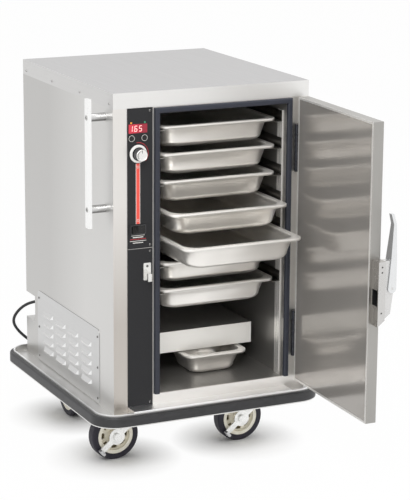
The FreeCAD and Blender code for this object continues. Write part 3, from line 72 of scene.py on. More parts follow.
# Printing on the control column
PRINT_THICK = 0.15 * MM
STRIPE_WIDTH = 9.0 * MM
STRIPE_EDGE = 1.2 * MM
STRIPE_LOW = 641.0 * MM
STRIPE_HIGH = 792.0 * MM
STRIPE_RING_OUTER = 3.2 * MM
STRIPE_RING_INNER = 2.3 * MM
STRIPE_RING_INSET = 9.0 * MM
SCALE_RADIUS = 26.6 * MM
SCALE_WIDTH = 1.5 * MM
SCALE_START = -42.0
SCALE_SWEEP = 140.0
LEGEND_DOWN = 15.0 * MM
LEGEND_PITCH = 4.6 * MM
LEGEND_BARS = ((36.0, 1.2), (28.0, 2.2), (42.0, 1.6), (44.0, 1.2), (28.0, 1.8))
LEGEND_RED_BAR = 2
SWITCH_FRAME_WIDE = 38.5 * MM
SWITCH_FRAME_TALL = 21.5 * MM
SWITCH_LINE = 0.9 * MM
RING_WIDTH = 0.9 * MM
RING_INSET = 0.54 * MM
TRIM_WIDTH = 1.3 * MM
TRIM_PROUD = 0.6 * MM

# Digits of the display
DIGITS = "165"
DIGIT_HEIGHT = 14.5 * MM
DIGIT_WIDTH = 8.0 * MM
DIGIT_PITCH = 12.4 * MM
DIGIT_STROKE = 1.7 * MM
DIGIT_GAP = 0.35 * MM
DIGIT_LEAN = 0.12
DIGIT_SHIFT = -5.6 * MM
SEGMENTS = {"1": "bc", "5": "afgcd", "6": "afgedc"}

# Knob; its outlines are shares of a radius and of the skirt's thickness or the knob's length
KNOB_GAP = 0.3 * MM
KNOB_SKIRT_RADIUS = 22.4 * MM
KNOB_GROOVE_RADIUS = 16.6 * MM
KNOB_CAP_RADIUS = 15.0 * MM
KNOB_SKIRT_THICK = 4.9 * MM
KNOB_SKIRT_OUTLINE = ((0.0, 0.0), (1.0, 0.0), (1.0, 0.5), (0.98, 0.85), (0.94, 1.0))
KNOB_GROOVE_FLOOR = 0.6
KNOB_GROOVE_TAPER = 0.98
KNOB_GROOVE_INNER = 0.93
KNOB_GRIP_FOOT = ((0.97, 0.6), (1.0, 0.9))
KNOB_GRIP_END = ((1.0, 0.93), (0.93, 1.0), (0.88, 1.0))
KNOB_DISH = (0.86, 0.5, 0.05)
KNOB_DISH_DEPTH = 0.5 * MM
KNOB_RIBS = 48
KNOB_RIBBED_LEVELS = (1, 2)
KNOB_RIB_DEPTH = 0.018
KNOB_GRIP_BANDS = 2
KNOB_STEPS = 192
POINTER_HALF = 0.5 * MM
POINTER_EASE = 0.1 * MM
POINTER_INNER = 0.35
POINTER_OUTER = 0.82
SPUN_RING = 0.8 * MM
ACROSS_KNOB = (1.0, 0.0, 1.0)

# Screw heads; the outline and the cross recess are shares of the radius and the height
SCREW_RADIUS = 3.2 * MM
SCREW_HEIGHT = 1.6 * MM
SCREW_STEPS = 24
SCREW_OUTLINE = ((0.0, 0.0), (1.0, 0.0), (1.0, 0.35), (0.86, 0.72), (0.5, 0.95), (0.0, 1.0))
CROSS_LENGTH = 0.62
CROSS_WIDTH = 0.17
CROSS_LIFT = 1.02
LID_SCREWS_ABOVE = 0.8
LID_SCREW_INDEX = 2

# Push handle and the plugs over its screws
PLUG_SCREW_RADIUS = 6.5 * MM
PLUG_SCREW_HEIGHT = 1.4 * MM
HANDLE_POST_INSET = 46.0 * MM
HANDLE_THICK = 9.0 * MM

# Latch: its block, the screws in it and the pocket for the strike
LATCH_BLOCK = 19.0 * MM
# Strength of the painted highlight on the free edge of the latch block
LATCH_HIGHLIGHT_SHARE = 0.6
LATCH_SCREW_RADIUS = 2.4 * MM
LATCH_SCREW_HEIGHT = 0.2 * MM
LATCH_SCREW_INSET = 13.0 * MM
LATCH_SCREW_LOW = 34.0 * MM
POCKET_UP = 50.0 * MM
POCKET_HEIGHT = 39.0 * MM
POCKET_DEPTH = 15.0 * MM
POCKET_WALL = 4.0 * MM
POCKET_SHADE_THICK = 0.25 * MM

# Door: hem round the inner skin, thinner than the gap to the seal
HEM_WIDTH = 5.5 * MM
HEM_PROUD = 0.4 * MM
DOOR_ANGLE = math.radians(88.5)

# Painted highlight on the upper part of the tray's lip
LIP_EDGE = 6.0 * MM

# Pans: sizes of the pressing, and how metallic the walls and the lip look
PAN_RIM = 13.0 * MM
PAN_LIP = 7.0 * MM
PAN_LIP_CORNER = 26.0 * MM
PAN_SHOULDER = 13.0 * MM
PAN_STEP = 2.0 * MM
PAN_TAPER = 8.0 * MM
PAN_CORNER = 38.0 * MM
PAN_CORNER_SHARE = 0.15
PAN_FLOOR_ROUND = 17.0 * MM
PAN_SHEET = 1.2 * MM
PAN_EASE = 1.0 * MM
PAN_CORNER_STEPS = 12
PAN_ROUND_STEPS = 6
PAN_LIP_TONE = 4.0 * MM
PAN_WALL_METAL = 0.8
PAN_LIP_METAL = 0.4

# Brake pads
BRAKE_ANGLE = math.radians(-39.0)
BRAKE_REACH = 58.0 * MM
PAD_OUTSIDE = 1.2 * MM
PAD_HALF_HEIGHT = 8.2 * MM
PAD_LENGTH = 7.0 * MM
PAD_DEPTH = 15.5 * MM
PAD_RIBS = 3
PAD_RIB = 0.8 * MM
PAD_EASE = 1.2 * MM

# Floor of the slots in the hubs, dark brown as painted shade
SLOT_INNER = 26.0 * MM
SLOT_OUTER = 37.0 * MM
SLOT_FLOOR = 1.0 * MM

# Vent panel
VENT_SHEET = 1.2 * MM
LOUVRE_COLUMNS = 4
LOUVRE_ROWS = 5
LOUVRE_LENGTH = 62.0 * MM
LOUVRE_PROUD = 7.0 * MM
LOUVRE_COLUMN_PITCH = 88.5 * MM
LOUVRE_ROW_PITCH = 25.0 * MM
LOUVRE_BOTTOM = 36.0 * MM
SLIT_MARGIN = 0.8 * MM
SLIT_THICK = 0.2 * MM
# Height of the bar of painted highlight along each louvre's crest
HIGHLIGHT_TALL = 1.8 * MM

# Cord, its points in millimetres and in the same order as in the part's own source
CORD_RADIUS = 4.0 * MM
CORD_START = Vector((-233.0, 472.024, 305.0))
CORD_STEPS = ((-18, 46, -12), (-50, 80, -62), (-24, 106, -110), (44, 128, -168), (88, 136, -222),
              (126, 140, -268))
COIL_CENTRE = Vector((73.0, 724.024, 0.0))
COIL_RADIUS = 44.0
COIL_TURNS = 4
COIL_POINTS = 16
COIL_LEAD_IN = ((-140, -40, 6), (-66, -44, 4))
PLUG_START = Vector((151.0, 680.024, 16.0))
CORD_TAIL = ((26, -44, 35), (52, -44, 20))
CORD_ROUND = 4
CORD_SMOOTH = 8
CORD_ORDER = 3
TIE_WIDTH = 9.0 * MM
TIE_THICK = 1.2 * MM
TIE_POINTS = 24
TIE_SQUARE = 0.5
TIE_ANGLE = math.radians(60.0)

# Plug: the outline of its body is radius and distance past the neck in millimetres; that of the earth pin
# is shares of its radius and length
PLUG_NECK = 24.0 * MM
PLUG_NECK_RADIUS = 7.0 * MM
PLUG_BODY_OUTLINE = ((12.0, 0.0), (15.0, 3.0), (15.8, 9.0), (15.2, 23.0), (15.8, 36.8), (15.4, 44.5),
                     (14.0, 46.0), (0.0, 46.0))
PLUG_STEPS = 40
PLUG_RIBS = 5
RIB_FIRST = 2.4 * MM
RIB_PITCH = 4.08 * MM
RIB_RADIUS = 7.4 * MM
RIB_GROWTH = 0.8 * MM
RIB_DEPTH = 1.2 * MM
RIB_TOP = 2.2 * MM
RIB_FOOT = 2.8 * MM
RIB_GROOVE = 3.6 * MM
EARTH_OUTLINE = ((0.0, 0.0), (1.0, 0.0), (1.0, 0.88), (0.6, 0.97), (0.0, 1.0))
EARTH_STEPS = 20
BLADE_ROOT = 1.0 * MM
BLADE_SIDE = 6.35 * MM
BLADE_HALF = 0.8 * MM
BLADE_HEIGHT = 6.4 * MM
EARTH_RADIUS = 2.4 * MM

# Floor, surround and lamps
WHITE = "#FFFFFF"
FLOOR_WHITE = "#FAFAF9"
FLOOR_HALF = 14.0
FLOOR_WHITE_SHARE = 0.0
FLOOR_WHITE_BEYOND = 0.97
FLOOR_NEAR = 0.05
FLOOR_FAR = 0.18
SURROUND_LIGHT = 0.62
UNSEEN_LAMPS = ("fill_lamp",)
LAMP_TARGET = (0.0, 0.05, 0.5)
LAMPS = (
    ("key_lamp", (-1.6, -2.6, 3.2), 1.8, 70.0),
    ("fill_lamp", (2.6, -2.2, 2.2), 2.2, 35.0),
    ("top_lamp", (0.3, 0.6, 3.6), 2.4, 20.0),
)

# Directions towards which painted light or shade turns: painted shade on the top of the lid, with its left
# fold half way, painted highlights on the front cheeks of the louvres, with the flat of the vent half way,
# and on the front of the handle's posts
LID_SHADE_FACING = (-0.5, 0.0, 1.0)
LOUVRE_LIGHT_FACING = (-0.5, -0.42, 0.14)
POST_HIGHLIGHT_FACING = (0.0, -0.5, 0.25)

# Sockets of a Mix node that carry colours, and the stretch of a pattern that is spread from 0 to 1
MIX_ENDS = (6, 7)
MIX_RESULT = 2
PATTERN_LOW = 0.3
PATTERN_HIGH = 0.7

# Strength and depth in millimetres of brushed grain, and what the plastics have in common
BRUSH_BUMP = (0.04, 0.04)
PLASTIC_IOR = 1.49
PLASTIC_SPREAD = (0.9, 1.15)


def linear(hex_colour):
    """Linear colour from an sRGB hex value."""
    channels = [int(hex_colour[place:place + 2], 16) / 255 for place in (1, 3, 5)]
    curve = [c / 12.92 if c <= 0.04045 else ((c + 0.055) / 1.055) ** 2.4 for c in channels]
    return (*curve, 1.0)


def add(tree, kind, inputs=None, **settings):
    """Adds a node with its settings, values and links."""
    node = tree.nodes.new(kind)
    for name, value in settings.items():
        setattr(node, name, value)
    for name, value in (inputs or {}).items():
        if isinstance(value, bpy.types.NodeSocket):
            tree.links.new(value, node.inputs[name])
        else:
            node.inputs[name].default_value = value
    return node


def surface(name, colour, roughness, metallic=0.0, **sockets):
    """Material with one Principled shader and its constant values."""
    material = bpy.data.materials.new(name)
    material.use_nodes = True
    tree = material.node_tree
    shader = tree.nodes["Principled BSDF"]
    shader.inputs["Base Color"].default_value = linear(colour)
    shader.inputs["Roughness"].default_value = roughness
    shader.inputs["Metallic"].default_value = metallic
    for socket, value in sockets.items():
        shader.inputs[socket.replace("_", " ")].default_value = value
    return material, tree, shader


def patches(tree, size_mm, detail=3.0, rough=0.55):
    """Uneven pattern whose patches have a size in millimetres along X, Y and Z."""
    place = add(tree, "ShaderNodeTexCoord")
    scale = [1.0 / (size * MM) for size in size_mm]
    spread = add(tree, "ShaderNodeMapping", {"Vector": place.outputs["Object"], "Scale": scale})
    made = add(tree, "ShaderNodeTexNoise",
               {"Vector": spread.outputs["Vector"], "Scale": 1.0, "Detail": detail, "Roughness": rough})
    return made.outputs["Fac"]


def place_along(tree, axis):
    """Place of a surface point along an axis, in metres."""
    place = add(tree, "ShaderNodeTexCoord")
    return add(tree, "ShaderNodeSeparateXYZ", {"Vector": place.outputs["Object"]}).outputs[axis]


def share_along(tree, axis, low, high):
    """Share of the way from a low to a high place along an axis that a surface point has come."""
    place = place_along(tree, axis)
    share = add(tree, "ShaderNodeMapRange", {"Value": place, "From Min": low, "From Max": high})
    return share.outputs["Result"]


def facing(tree, direction):
    """How squarely a surface point faces a direction."""
    place = add(tree, "ShaderNodeTexCoord")
    turned = add(tree, "ShaderNodeVectorMath", {0: place.outputs["Normal"], 1: direction},
                 operation="DOT_PRODUCT")
    return turned.outputs["Value"]


def follow(tree, shader, pattern, colours=None, roughness=None, bump=None):
    """Lets the colour, the roughness or the bump of a surface follow a pattern from 0 to 1."""
    even = add(tree, "ShaderNodeMapRange",
               {"Value": pattern, "From Min": PATTERN_LOW, "From Max": PATTERN_HIGH})
    share = even.outputs["Result"]
    if colours:
        ends = dict(zip(MIX_ENDS, map(linear, colours)))
        mixed = add(tree, "ShaderNodeMix", {0: share, **ends}, data_type="RGBA")
        tree.links.new(mixed.outputs[MIX_RESULT], shader.inputs["Base Color"])
    if roughness:
        low, high = roughness
        span = add(tree, "ShaderNodeMapRange", {"Value": share, "To Min": low, "To Max": high})
        tree.links.new(span.outputs["Result"], shader.inputs["Roughness"])
    if bump:
        strength, depth_mm = bump
        raised = add(tree, "ShaderNodeBump",
                     {"Height": pattern, "Strength": strength, "Distance": depth_mm * MM})
        tree.links.new(raised.outputs["Normal"], shader.inputs["Normal"])


def brushed_sheet(name, light, dark, roughness, grain_mm, metallic=1.0):
    """Stainless sheet with a brushed No. 4 grain: fine streaks that blur what it reflects."""
    material, tree, shader = surface(name, light, roughness[0], metallic)
    follow(tree, shader, patches(tree, grain_mm, detail=4.0), roughness=roughness, bump=BRUSH_BUMP)
    follow(tree, shader, patches(tree, (260.0, 260.0, 260.0), detail=2.0), colours=(light, dark))
    return material


def folded_sheet(name, away, toward, grain, roughness, metallic=0.9):
    """Brushed sheet folded or pressed to shape: painted light and shade, another grey on faces turned towards
    one direction.
    """
    material, tree, shader = surface(name, away, roughness[0], metallic)
    # grain is the direction towards which the painted light or shade turns, not the way the sheet is brushed
    follow(tree, shader, facing(tree, grain), colours=(away, toward))
    follow(tree, shader, patches(tree, (2.4, 240.0, 2.4), detail=4.0), roughness=roughness, bump=BRUSH_BUMP)
    return material


def graded_sheet(name, start, end, axis, low, high, roughness, metallic=1.0):
    """Brushed sheet whose tone runs evenly along one axis: a painted gradient of light and shade from end to
    end.
    """
    material, tree, shader = surface(name, start, roughness[0], metallic)
    follow(tree, shader, share_along(tree, axis, low, high), colours=(start, end))
    follow(tree, shader, patches(tree, (2.0, 2.0, 2.0), detail=4.0), roughness=roughness)
    return material


def front_sheet(name, foot, head, low, high, post_right, roughness):
    """Brushed front frame with painted shade: the left post gets darker towards its foot, the sill and the
    rest stay bright.
    """
    material, tree, shader = surface(name, head, roughness[0], metallic=1.0)
    share = share_along(tree, "Z", low, high)
    rest = add(tree, "ShaderNodeMath", {0: place_along(tree, "X"), 1: post_right}, operation="GREATER_THAN")
    tone = add(tree, "ShaderNodeMath", {0: share, 1: rest.outputs["Value"]}, operation="MAXIMUM")
    follow(tree, shader, tone.outputs["Value"], colours=(foot, head))
    follow(tree, shader, patches(tree, (1.6, 3.0, 240.0), detail=4.0), roughness=roughness, bump=BRUSH_BUMP)
    return material


def bar_on_posts(name, bright, dull, wall):
    """Polished flat bar on turned posts: the bar is bright all over, the posts get a painted highlight along
    their fronts and painted shade elsewhere.
    """
    material, tree, shader = surface(name, bright, roughness=0.24, metallic=0.85)
    on_bar = add(tree, "ShaderNodeMath", {0: place_along(tree, "X"), 1: wall}, operation="LESS_THAN")
    shine = add(tree, "ShaderNodeMath", {0: on_bar.outputs["Value"], 1: facing(tree, POST_HIGHLIGHT_FACING)},
                operation="MAXIMUM")
    follow(tree, shader, shine.outputs["Value"], colours=(dull, bright))
    polish = patches(tree, (1.6, 1.6, 120.0), detail=4.0)
    follow(tree, shader, polish, roughness=(0.2, 0.3), bump=(0.03, 0.03))
    return material


def drawn_pan(name, node, light, dark):
    """Deep-drawn stainless pan: satin walls with soft draw marks, and a whiter and duller rolled lip."""
    material, tree, shader = surface(name, light, roughness=0.24)
    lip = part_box(node)[1][2] - PAN_LIP_TONE
    on_lip = add(tree, "ShaderNodeMath", {0: place_along(tree, "Z"), 1: lip}, operation="GREATER_THAN")
    metal = add(tree, "ShaderNodeMapRange",
                {"Value": on_lip.outputs["Value"], "To Min": PAN_WALL_METAL, "To Max": PAN_LIP_METAL})
    tree.links.new(metal.outputs["Result"], shader.inputs["Metallic"])
    marks = patches(tree, (90.0, 90.0, 160.0), detail=1.0)
    follow(tree, shader, marks, colours=(light, dark), roughness=(0.28, 0.34))
    return material


def powder_coat(name, colour, dark):
    """Textured black powder coat: matt, with an orange-peel grain drawn at 1.2 mm so that it shows."""
    material, tree, shader = surface(name, colour, roughness=0.55, Specular_IOR_Level=0.3)
    grain = patches(tree, (1.2, 1.2, 1.2))
    follow(tree, shader, grain, colours=(dark, colour), roughness=(0.5, 0.68), bump=(0.3, 0.12))
    return material


def moulded_rubber(name, colour, worn, roughness=(0.52, 0.72)):
    """Moulded rubber or soft vinyl: matt, with paler scuffs where it is touched."""
    material, tree, shader = surface(name, colour, roughness[0])
    scuffs = patches(tree, (22.0, 22.0, 9.0), detail=6.0, rough=0.65)
    follow(tree, shader, scuffs, colours=(colour, worn), roughness=roughness)
    follow(tree, shader, patches(tree, (0.9, 0.9, 0.9), detail=2.0), bump=(0.15, 0.08))
    return material


def satin_chrome(name, light, dark, roughness=(0.18, 0.26), metallic=0.9):
    """Die-cast metal with satin chrome: bright and even, a little duller in broad patches."""
    material, tree, shader = surface(name, light, roughness[0], metallic)
    dull = patches(tree, (60.0, 60.0, 60.0), detail=2.0)
    follow(tree, shader, dull, colours=(light, dark), roughness=roughness)
    return material


def two_tone_casting(name, block, housing, joint, outward, edge):
    """Latch casting: a dull block on the door with a painted highlight on its free edge, and a bright housing
    outside a joint.
    """
    material, tree, shader = surface(name, housing, roughness=0.24, metallic=0.75)
    place = add(tree, "ShaderNodeTexCoord")
    moved = add(tree, "ShaderNodeVectorMath", {0: place.outputs["Object"], 1: joint}, operation="SUBTRACT")
    far = add(tree, "ShaderNodeVectorMath", {0: moved.outputs["Vector"], 1: outward}, operation="DOT_PRODUCT")
    outside = add(tree, "ShaderNodeMath", {0: far.outputs["Value"], 1: 0.0}, operation="GREATER_THAN")
    # edge is the direction of the painted highlight on the block's free edge
    tone = add(tree, "ShaderNodeMath", {0: outside.outputs["Value"], 1: facing(tree, edge)},
               operation="MAXIMUM")
    follow(tree, shader, tone.outputs["Value"], colours=(block, housing))
    follow(tree, shader, patches(tree, (30.0, 30.0, 30.0), detail=2.0), roughness=(0.2, 0.3))
    return material


def folded_lever(name, outside, shaded_inside, shaded_facing):
    """Lever pressed from sheet and chromed: bright outside, and painted shade makes it dull and dark inside
    its channel.
    """
    material, tree, shader = surface(name, outside, roughness=0.2, metallic=0.7)
    follow(tree, shader, facing(tree, shaded_facing), colours=(outside, shaded_inside))
    follow(tree, shader, patches(tree, (30.0, 30.0, 30.0), detail=2.0), roughness=(0.16, 0.26))
    return material


def zinc_plate(name, light, dark, roughness=(0.2, 0.36)):
    """Pressed steel with bright zinc plate: uneven sheen and duller patches."""
    material, tree, shader = surface(name, light, roughness[0], metallic=0.85)
    sheen = patches(tree, (14.0, 14.0, 14.0), detail=4.0, rough=0.6)
    follow(tree, shader, sheen, colours=(light, dark), roughness=roughness)
    return material


def moulded_plastic(name, colour, dark, roughness):
    """Injection-moulded plastic: even colour with a fine moulded grain drawn at 1.4 mm so that it shows."""
    material, tree, shader = surface(name, colour, roughness, IOR=PLASTIC_IOR)
    follow(tree, shader, patches(tree, (18.0, 18.0, 18.0)), colours=(colour, dark))
    spread = [roughness * share for share in PLASTIC_SPREAD]
    grain = patches(tree, (1.4, 1.4, 1.4), detail=2.0)
    follow(tree, shader, grain, roughness=spread, bump=(0.06, 0.05))
    return material


def mineral_wool(name, colour, dark):
    """Mineral wool slab: matted fibres, uneven in colour."""
    material, tree, shader = surface(name, colour, roughness=0.95)
    fibres = patches(tree, (14.0, 14.0, 1.6), detail=6.0, rough=0.7)
    follow(tree, shader, fibres, colours=(colour, dark), bump=(0.6, 1.0))
    return material


def lit_acrylic(name, left, right, low, high, glow):
    """Red acrylic window with a painted glow: bright at its left end and darker to the right."""
    material, tree, shader = surface(name, left, roughness=0.14, IOR=PLASTIC_IOR, Emission_Strength=glow)
    shader.inputs["Emission Color"].default_value = linear(right)
    follow(tree, shader, share_along(tree, "X", low, high), colours=(left, right))
    return material


def glowing_segment(name, colour, glow):
    """Light-emitting segments behind the window: an even glow, softened by the acrylic."""
    material, tree, shader = surface(name, colour, roughness=0.3, Emission_Strength=glow)
    shader.inputs["Emission Color"].default_value = linear(colour)
    follow(tree, shader, patches(tree, (2.0, 2.0, 2.0), detail=1.0), roughness=(0.25, 0.4))
    return material


def two_lamp_lenses(name, left, right, middle):
    """Two small moulded lamp lenses in one node: one colour on each side of the middle."""
    material, tree, shader = surface(name, left, roughness=0.2, IOR=PLASTIC_IOR)
    side = add(tree, "ShaderNodeMath", {0: place_along(tree, "X"), 1: middle}, operation="GREATER_THAN")
    follow(tree, shader, side.outputs["Value"], colours=(left, right))
    return material


def print_ink(name, colour, worn):
    """Screen-printed ink: flat, very slightly mottled."""
    material, tree, shader = surface(name, colour, roughness=0.45)
    follow(tree, shader, patches(tree, (3.0, 3.0, 3.0), detail=2.0), colours=(colour, worn))
    return material


def spun_aluminium(name, light, dark, middle):
    """Turned aluminium knob cap: fine rings about its axis, drawn at 0.8 mm so that they show."""
    material, tree, shader = surface(name, light, roughness=0.25, metallic=0.9)
    place = add(tree, "ShaderNodeTexCoord")
    moved = add(tree, "ShaderNodeVectorMath", {0: place.outputs["Object"], 1: middle}, operation="SUBTRACT")
    flat = add(tree, "ShaderNodeVectorMath", {0: moved.outputs["Vector"], 1: ACROSS_KNOB},
               operation="MULTIPLY")
    far = add(tree, "ShaderNodeVectorMath", {0: flat.outputs["Vector"]}, operation="LENGTH")
    rings = add(tree, "ShaderNodeTexNoise", {"W": far.outputs["Value"], "Scale": 1.0 / SPUN_RING},
                noise_dimensions="1D")
    follow(tree, shader, rings.outputs["Fac"], colours=(light, dark), roughness=(0.2, 0.32))
    return material


def centre(node):
    """Middle of a node's box."""
    low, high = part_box(node)
    return (Vector(low) + Vector(high)) / 2


def box_round(points):
    """Low and high corners of the box round some points."""
    low = Vector(min(along) for along in zip(*points))
    high = Vector(max(along) for along in zip(*points))
    return low, high


# Places on the control column and the way the door has turned
CONTROL_X = centre("display_window").x
KNOB_Z = centre("control_knob").z
COLUMN_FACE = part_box("lower_panel")[0][1]
KNOB_LENGTH = COLUMN_FACE - KNOB_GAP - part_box("control_knob")[0][1]
DOOR_TURN = Matrix.Rotation(DOOR_ANGLE, 4, "Z")
DOOR_OUTWARD = DOOR_TURN @ FORWARD


def door_box(node):
    """Low and high corners of a door piece in the frame of the closed door's directions."""
    back = DOOR_TURN.inverted()
    return box_round([back @ vert.co for vert in NODES[node].data.vertices])


# Places on the latch, and the ends of the stretches along which a tone runs
LATCH_LOW, LATCH_HIGH = door_box("latch_body")
LATCH_JOINT_Y = LATCH_HIGH.y - LATCH_BLOCK
LATCH_JOINT = DOOR_TURN @ Vector((LATCH_LOW.x, LATCH_JOINT_Y, LATCH_LOW.z))
# Direction of the painted highlight on the latch block's free edge
LATCH_HIGHLIGHT_SIDE = DOOR_TURN @ LEFTWARD * LATCH_HIGHLIGHT_SHARE
HANDLE_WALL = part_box("push_handle")[0][0] + HANDLE_THICK
TRAY_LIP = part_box("base_tray")[1][2]
TRAY_FLOOR = TRAY_LIP - LIP_EDGE
FRONT_LOW, FRONT_HIGH = (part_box("front_frame")[end][2] for end in (0, 1))
SIDE_FRONT, SIDE_BACK = (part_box("left_side_panel")[end][1] for end in (0, 1))
POST_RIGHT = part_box("control_panel")[0][0]
WINDOW_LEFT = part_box("display_window")[0][0]
WINDOW_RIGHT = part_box("display_window")[1][0]

# Sheet metal and pressings
# Side sheets: painted reflection, lighter at the front and darker towards the back
SIDE_SHEET = graded_sheet("brushed_stainless_side", "#DAD9D7", "#C9C8C6", "Y", SIDE_FRONT, SIDE_BACK,
                          roughness=(0.36, 0.48))
# Vent: painted highlight on the front cheeks of the louvres, painted shade on their back cheeks and edges
VENT_STEEL = folded_sheet("pressed_stainless_vent", "#8E8D8B", "#FFFFFF", LOUVRE_LIGHT_FACING,
                          roughness=(0.32, 0.42))
# Lid: painted shade, a darker grey on the top than on the sides
LID_SHEET = folded_sheet("brushed_stainless_lid", "#F0EFED", "#BAB9B9", LID_SHADE_FACING, roughness=(0.34, 0.46))
# Front frame: painted shade, darker towards the foot of the left post
FRONT_SHEET = front_sheet("brushed_stainless_front", "#CCC6BF", "#F0EDE9", FRONT_LOW, FRONT_HIGH, POST_RIGHT,
                          roughness=(0.36, 0.46))
DOOR_SHEET = brushed_sheet("bright_stainless_door", "#ABA7A2", "#A4A09B", roughness=(0.1, 0.15),
                           grain_mm=(3.0, 1.6, 240.0), metallic=0.42)
DOOR_FOLD = brushed_sheet("brushed_stainless_door_edge", "#B4B2AE", "#AAA8A4", roughness=(0.34, 0.46),
                          grain_mm=(1.6, 3.0, 240.0))
DOOR_HEM = brushed_sheet("polished_door_hem", "#E4E2DF", "#DAD8D5", roughness=(0.3, 0.4),
                         grain_mm=(1.6, 1.6, 240.0), metallic=0.5)
# Liner: darker grey than the outer sheets, painted shade inside the cavity
LINER_SHEET = brushed_sheet("satin_stainless_liner", "#ADABA8", "#A09E9B", roughness=(0.3, 0.44),
                            grain_mm=(3.0, 180.0, 1.6), metallic=0.8)
# Shroud: painted shade on its top, painted near white on its front
SHROUD_SHEET = folded_sheet("satin_stainless_shroud", "#FFFDF8", "#7E7C79", UP, roughness=(0.3, 0.4),
                            metallic=0.3)
# Pan slides: darker grey, painted shade inside the cavity
RACK_SHEET = brushed_sheet("satin_stainless_rack", "#9A9894", "#8B8985", roughness=(0.2, 0.3),
                           grain_mm=(120.0, 1.6, 1.6))
# Rack uprights: near white, painted reflection and highlight
UPRIGHT_SHEET = brushed_sheet("bright_stainless_upright", "#F8F6F2", "#EEECE8", roughness=(0.24, 0.34),
                              grain_mm=(1.6, 1.6, 160.0), metallic=0.6)
# Handle: painted highlight on the fronts of the posts, painted shade on the rest of them
HANDLE_STEEL = bar_on_posts("polished_stainless_handle", "#FAFAF9", "#8E8D8C", HANDLE_WALL)
# Tray: painted highlight, white at the top of the lip and greyer below
TRAY_SHEET = graded_sheet("polished_aluminium_tray", "#E0DFDD", "#FFFFFF", "Z", TRAY_FLOOR, TRAY_LIP,
                          roughness=(0.28, 0.38))

# Plated, cast and turned metal
LATCH_CASTING = two_tone_casting("cast_latch_body", "#A6A29D", "#D8D7D6", LATCH_JOINT, DOOR_OUTWARD,
                                 LATCH_HIGHLIGHT_SIDE)
# Lever: painted shade on the faces that turn in towards the door
LEVER_CHROME = folded_lever("satin_chrome_lever", "#E2E3E4", "#B0B1B3", -DOOR_OUTWARD)
STRIKE_CHROME = satin_chrome("satin_chrome_strike", "#EDECE9", "#D8D7D4")
BLADE_NICKEL = satin_chrome("plug_blade_nickel", "#C9C4B6", "#B8B3A4")
# Painted highlight: bright bars along the crests of the louvres
LOUVRE_HIGHLIGHT = satin_chrome("louvre_crest_highlight", "#F6F5F3", "#ECEBE9", metallic=0.4)
TRIM_STEEL = satin_chrome("column_trim_steel", "#B8B6B2", "#A8A6A2")
# Hinges: painted dark grey, standing in for shade and dark reflections on plated metal
HINGE_STEEL = zinc_plate("dark_painted_hinge", "#3C3D42", "#2E2F34")
CASTER_ZINC = zinc_plate("zinc_plated_caster", "#FAFAF8", "#E9E9E7")
SCREW_STEEL = zinc_plate("zinc_plated_screw", "#8C8B89", "#737270")
LID_SCREW_STEEL = zinc_plate("stainless_lid_screw", "#C4C3C1", "#B4B3B1")
PAD_STEEL = zinc_plate("pressed_brake_tread", "#DCDCDD", "#B2B2B4")
ELEMENT_STEEL = zinc_plate("oxidised_element_sheath", "#57524E", "#443F3C")

# Coats, rubber, plastic and wool
COLUMN_COAT = powder_coat("black_powder_coat", "#2C2C2E", "#222224")
BUMPER_VINYL = moulded_rubber("bumper_vinyl", "#262627", "#343436", roughness=(0.38, 0.52))
SEAL_SILICONE = moulded_rubber("seal_silicone", "#262933", "#31343F")
CORD_VINYL = moulded_rubber("cord_vinyl", "#1E1E1F", "#2C2C2E")
TYRE_RUBBER = moulded_rubber("tyre_rubber", "#1D1A26", "#292632")
# Painted shadow: flat dark faces in the louvre slits, the screw recesses and the latch pocket
SHADOW_DARK = moulded_rubber("painted_slit_and_recess_shadow", "#121213", "#1C1C1D")
HUB_NYLON = moulded_plastic("hub_nylon", "#FFFBEE", "#F6F0DE", roughness=0.42)
# Painted shade: dark brown for the floor of the hub slots
SLOT_SHADE = moulded_plastic("hub_slot_shade", "#6B6146", "#595039", roughness=0.6)
BLACK_PLASTIC = moulded_plastic("black_switch_plastic", "#131314", "#0E0E0F", roughness=0.25)
GRIP_PLASTIC = moulded_plastic("grey_knob_grip", "#4A4A4C", "#3C3C3E", roughness=0.35)
PLUG_PLASTIC = moulded_plastic("black_plug_plastic", "#1C1C1D", "#262627", roughness=0.45)
SKIRT_PLASTIC = moulded_plastic("white_knob_plastic", "#F4F3F0", "#EAE9E6", roughness=0.35)
TIE_VINYL = moulded_plastic("cord_tie_vinyl", "#2E2E30", "#3A3A3C", roughness=0.5)
BOARD_GREEN = moulded_plastic("circuit_board_laminate", "#1F5A34", "#184A2A", roughness=0.4)
WOOL = mineral_wool("mineral_wool", "#D8C98C", "#BFAE70")

# Display, lamps and print
WINDOW_ACRYLIC = lit_acrylic("red_acrylic_window", "#C43444", "#8D1F30", WINDOW_LEFT, WINDOW_RIGHT, glow=0.2)
DIGIT_GLOW = glowing_segment("display_digit_glow", "#FFB4B0", glow=0.85)
LAMP_LENSES = two_lamp_lenses("indicator_lamp_lenses", "#E59A3C", "#3F8F6B", CONTROL_X)
INK_RED = print_ink("printed_red_ink", "#F0584C", "#E84E42")
INK_WHITE = print_ink("printed_white_ink", "#E9E7E2", "#DBD9D4")
INK_DARK_RED = print_ink("printed_dark_red_ink", "#B9333A", "#A82B32")
INK_GREY = print_ink("printed_grey_ink", "#58585A", "#4E4E50")

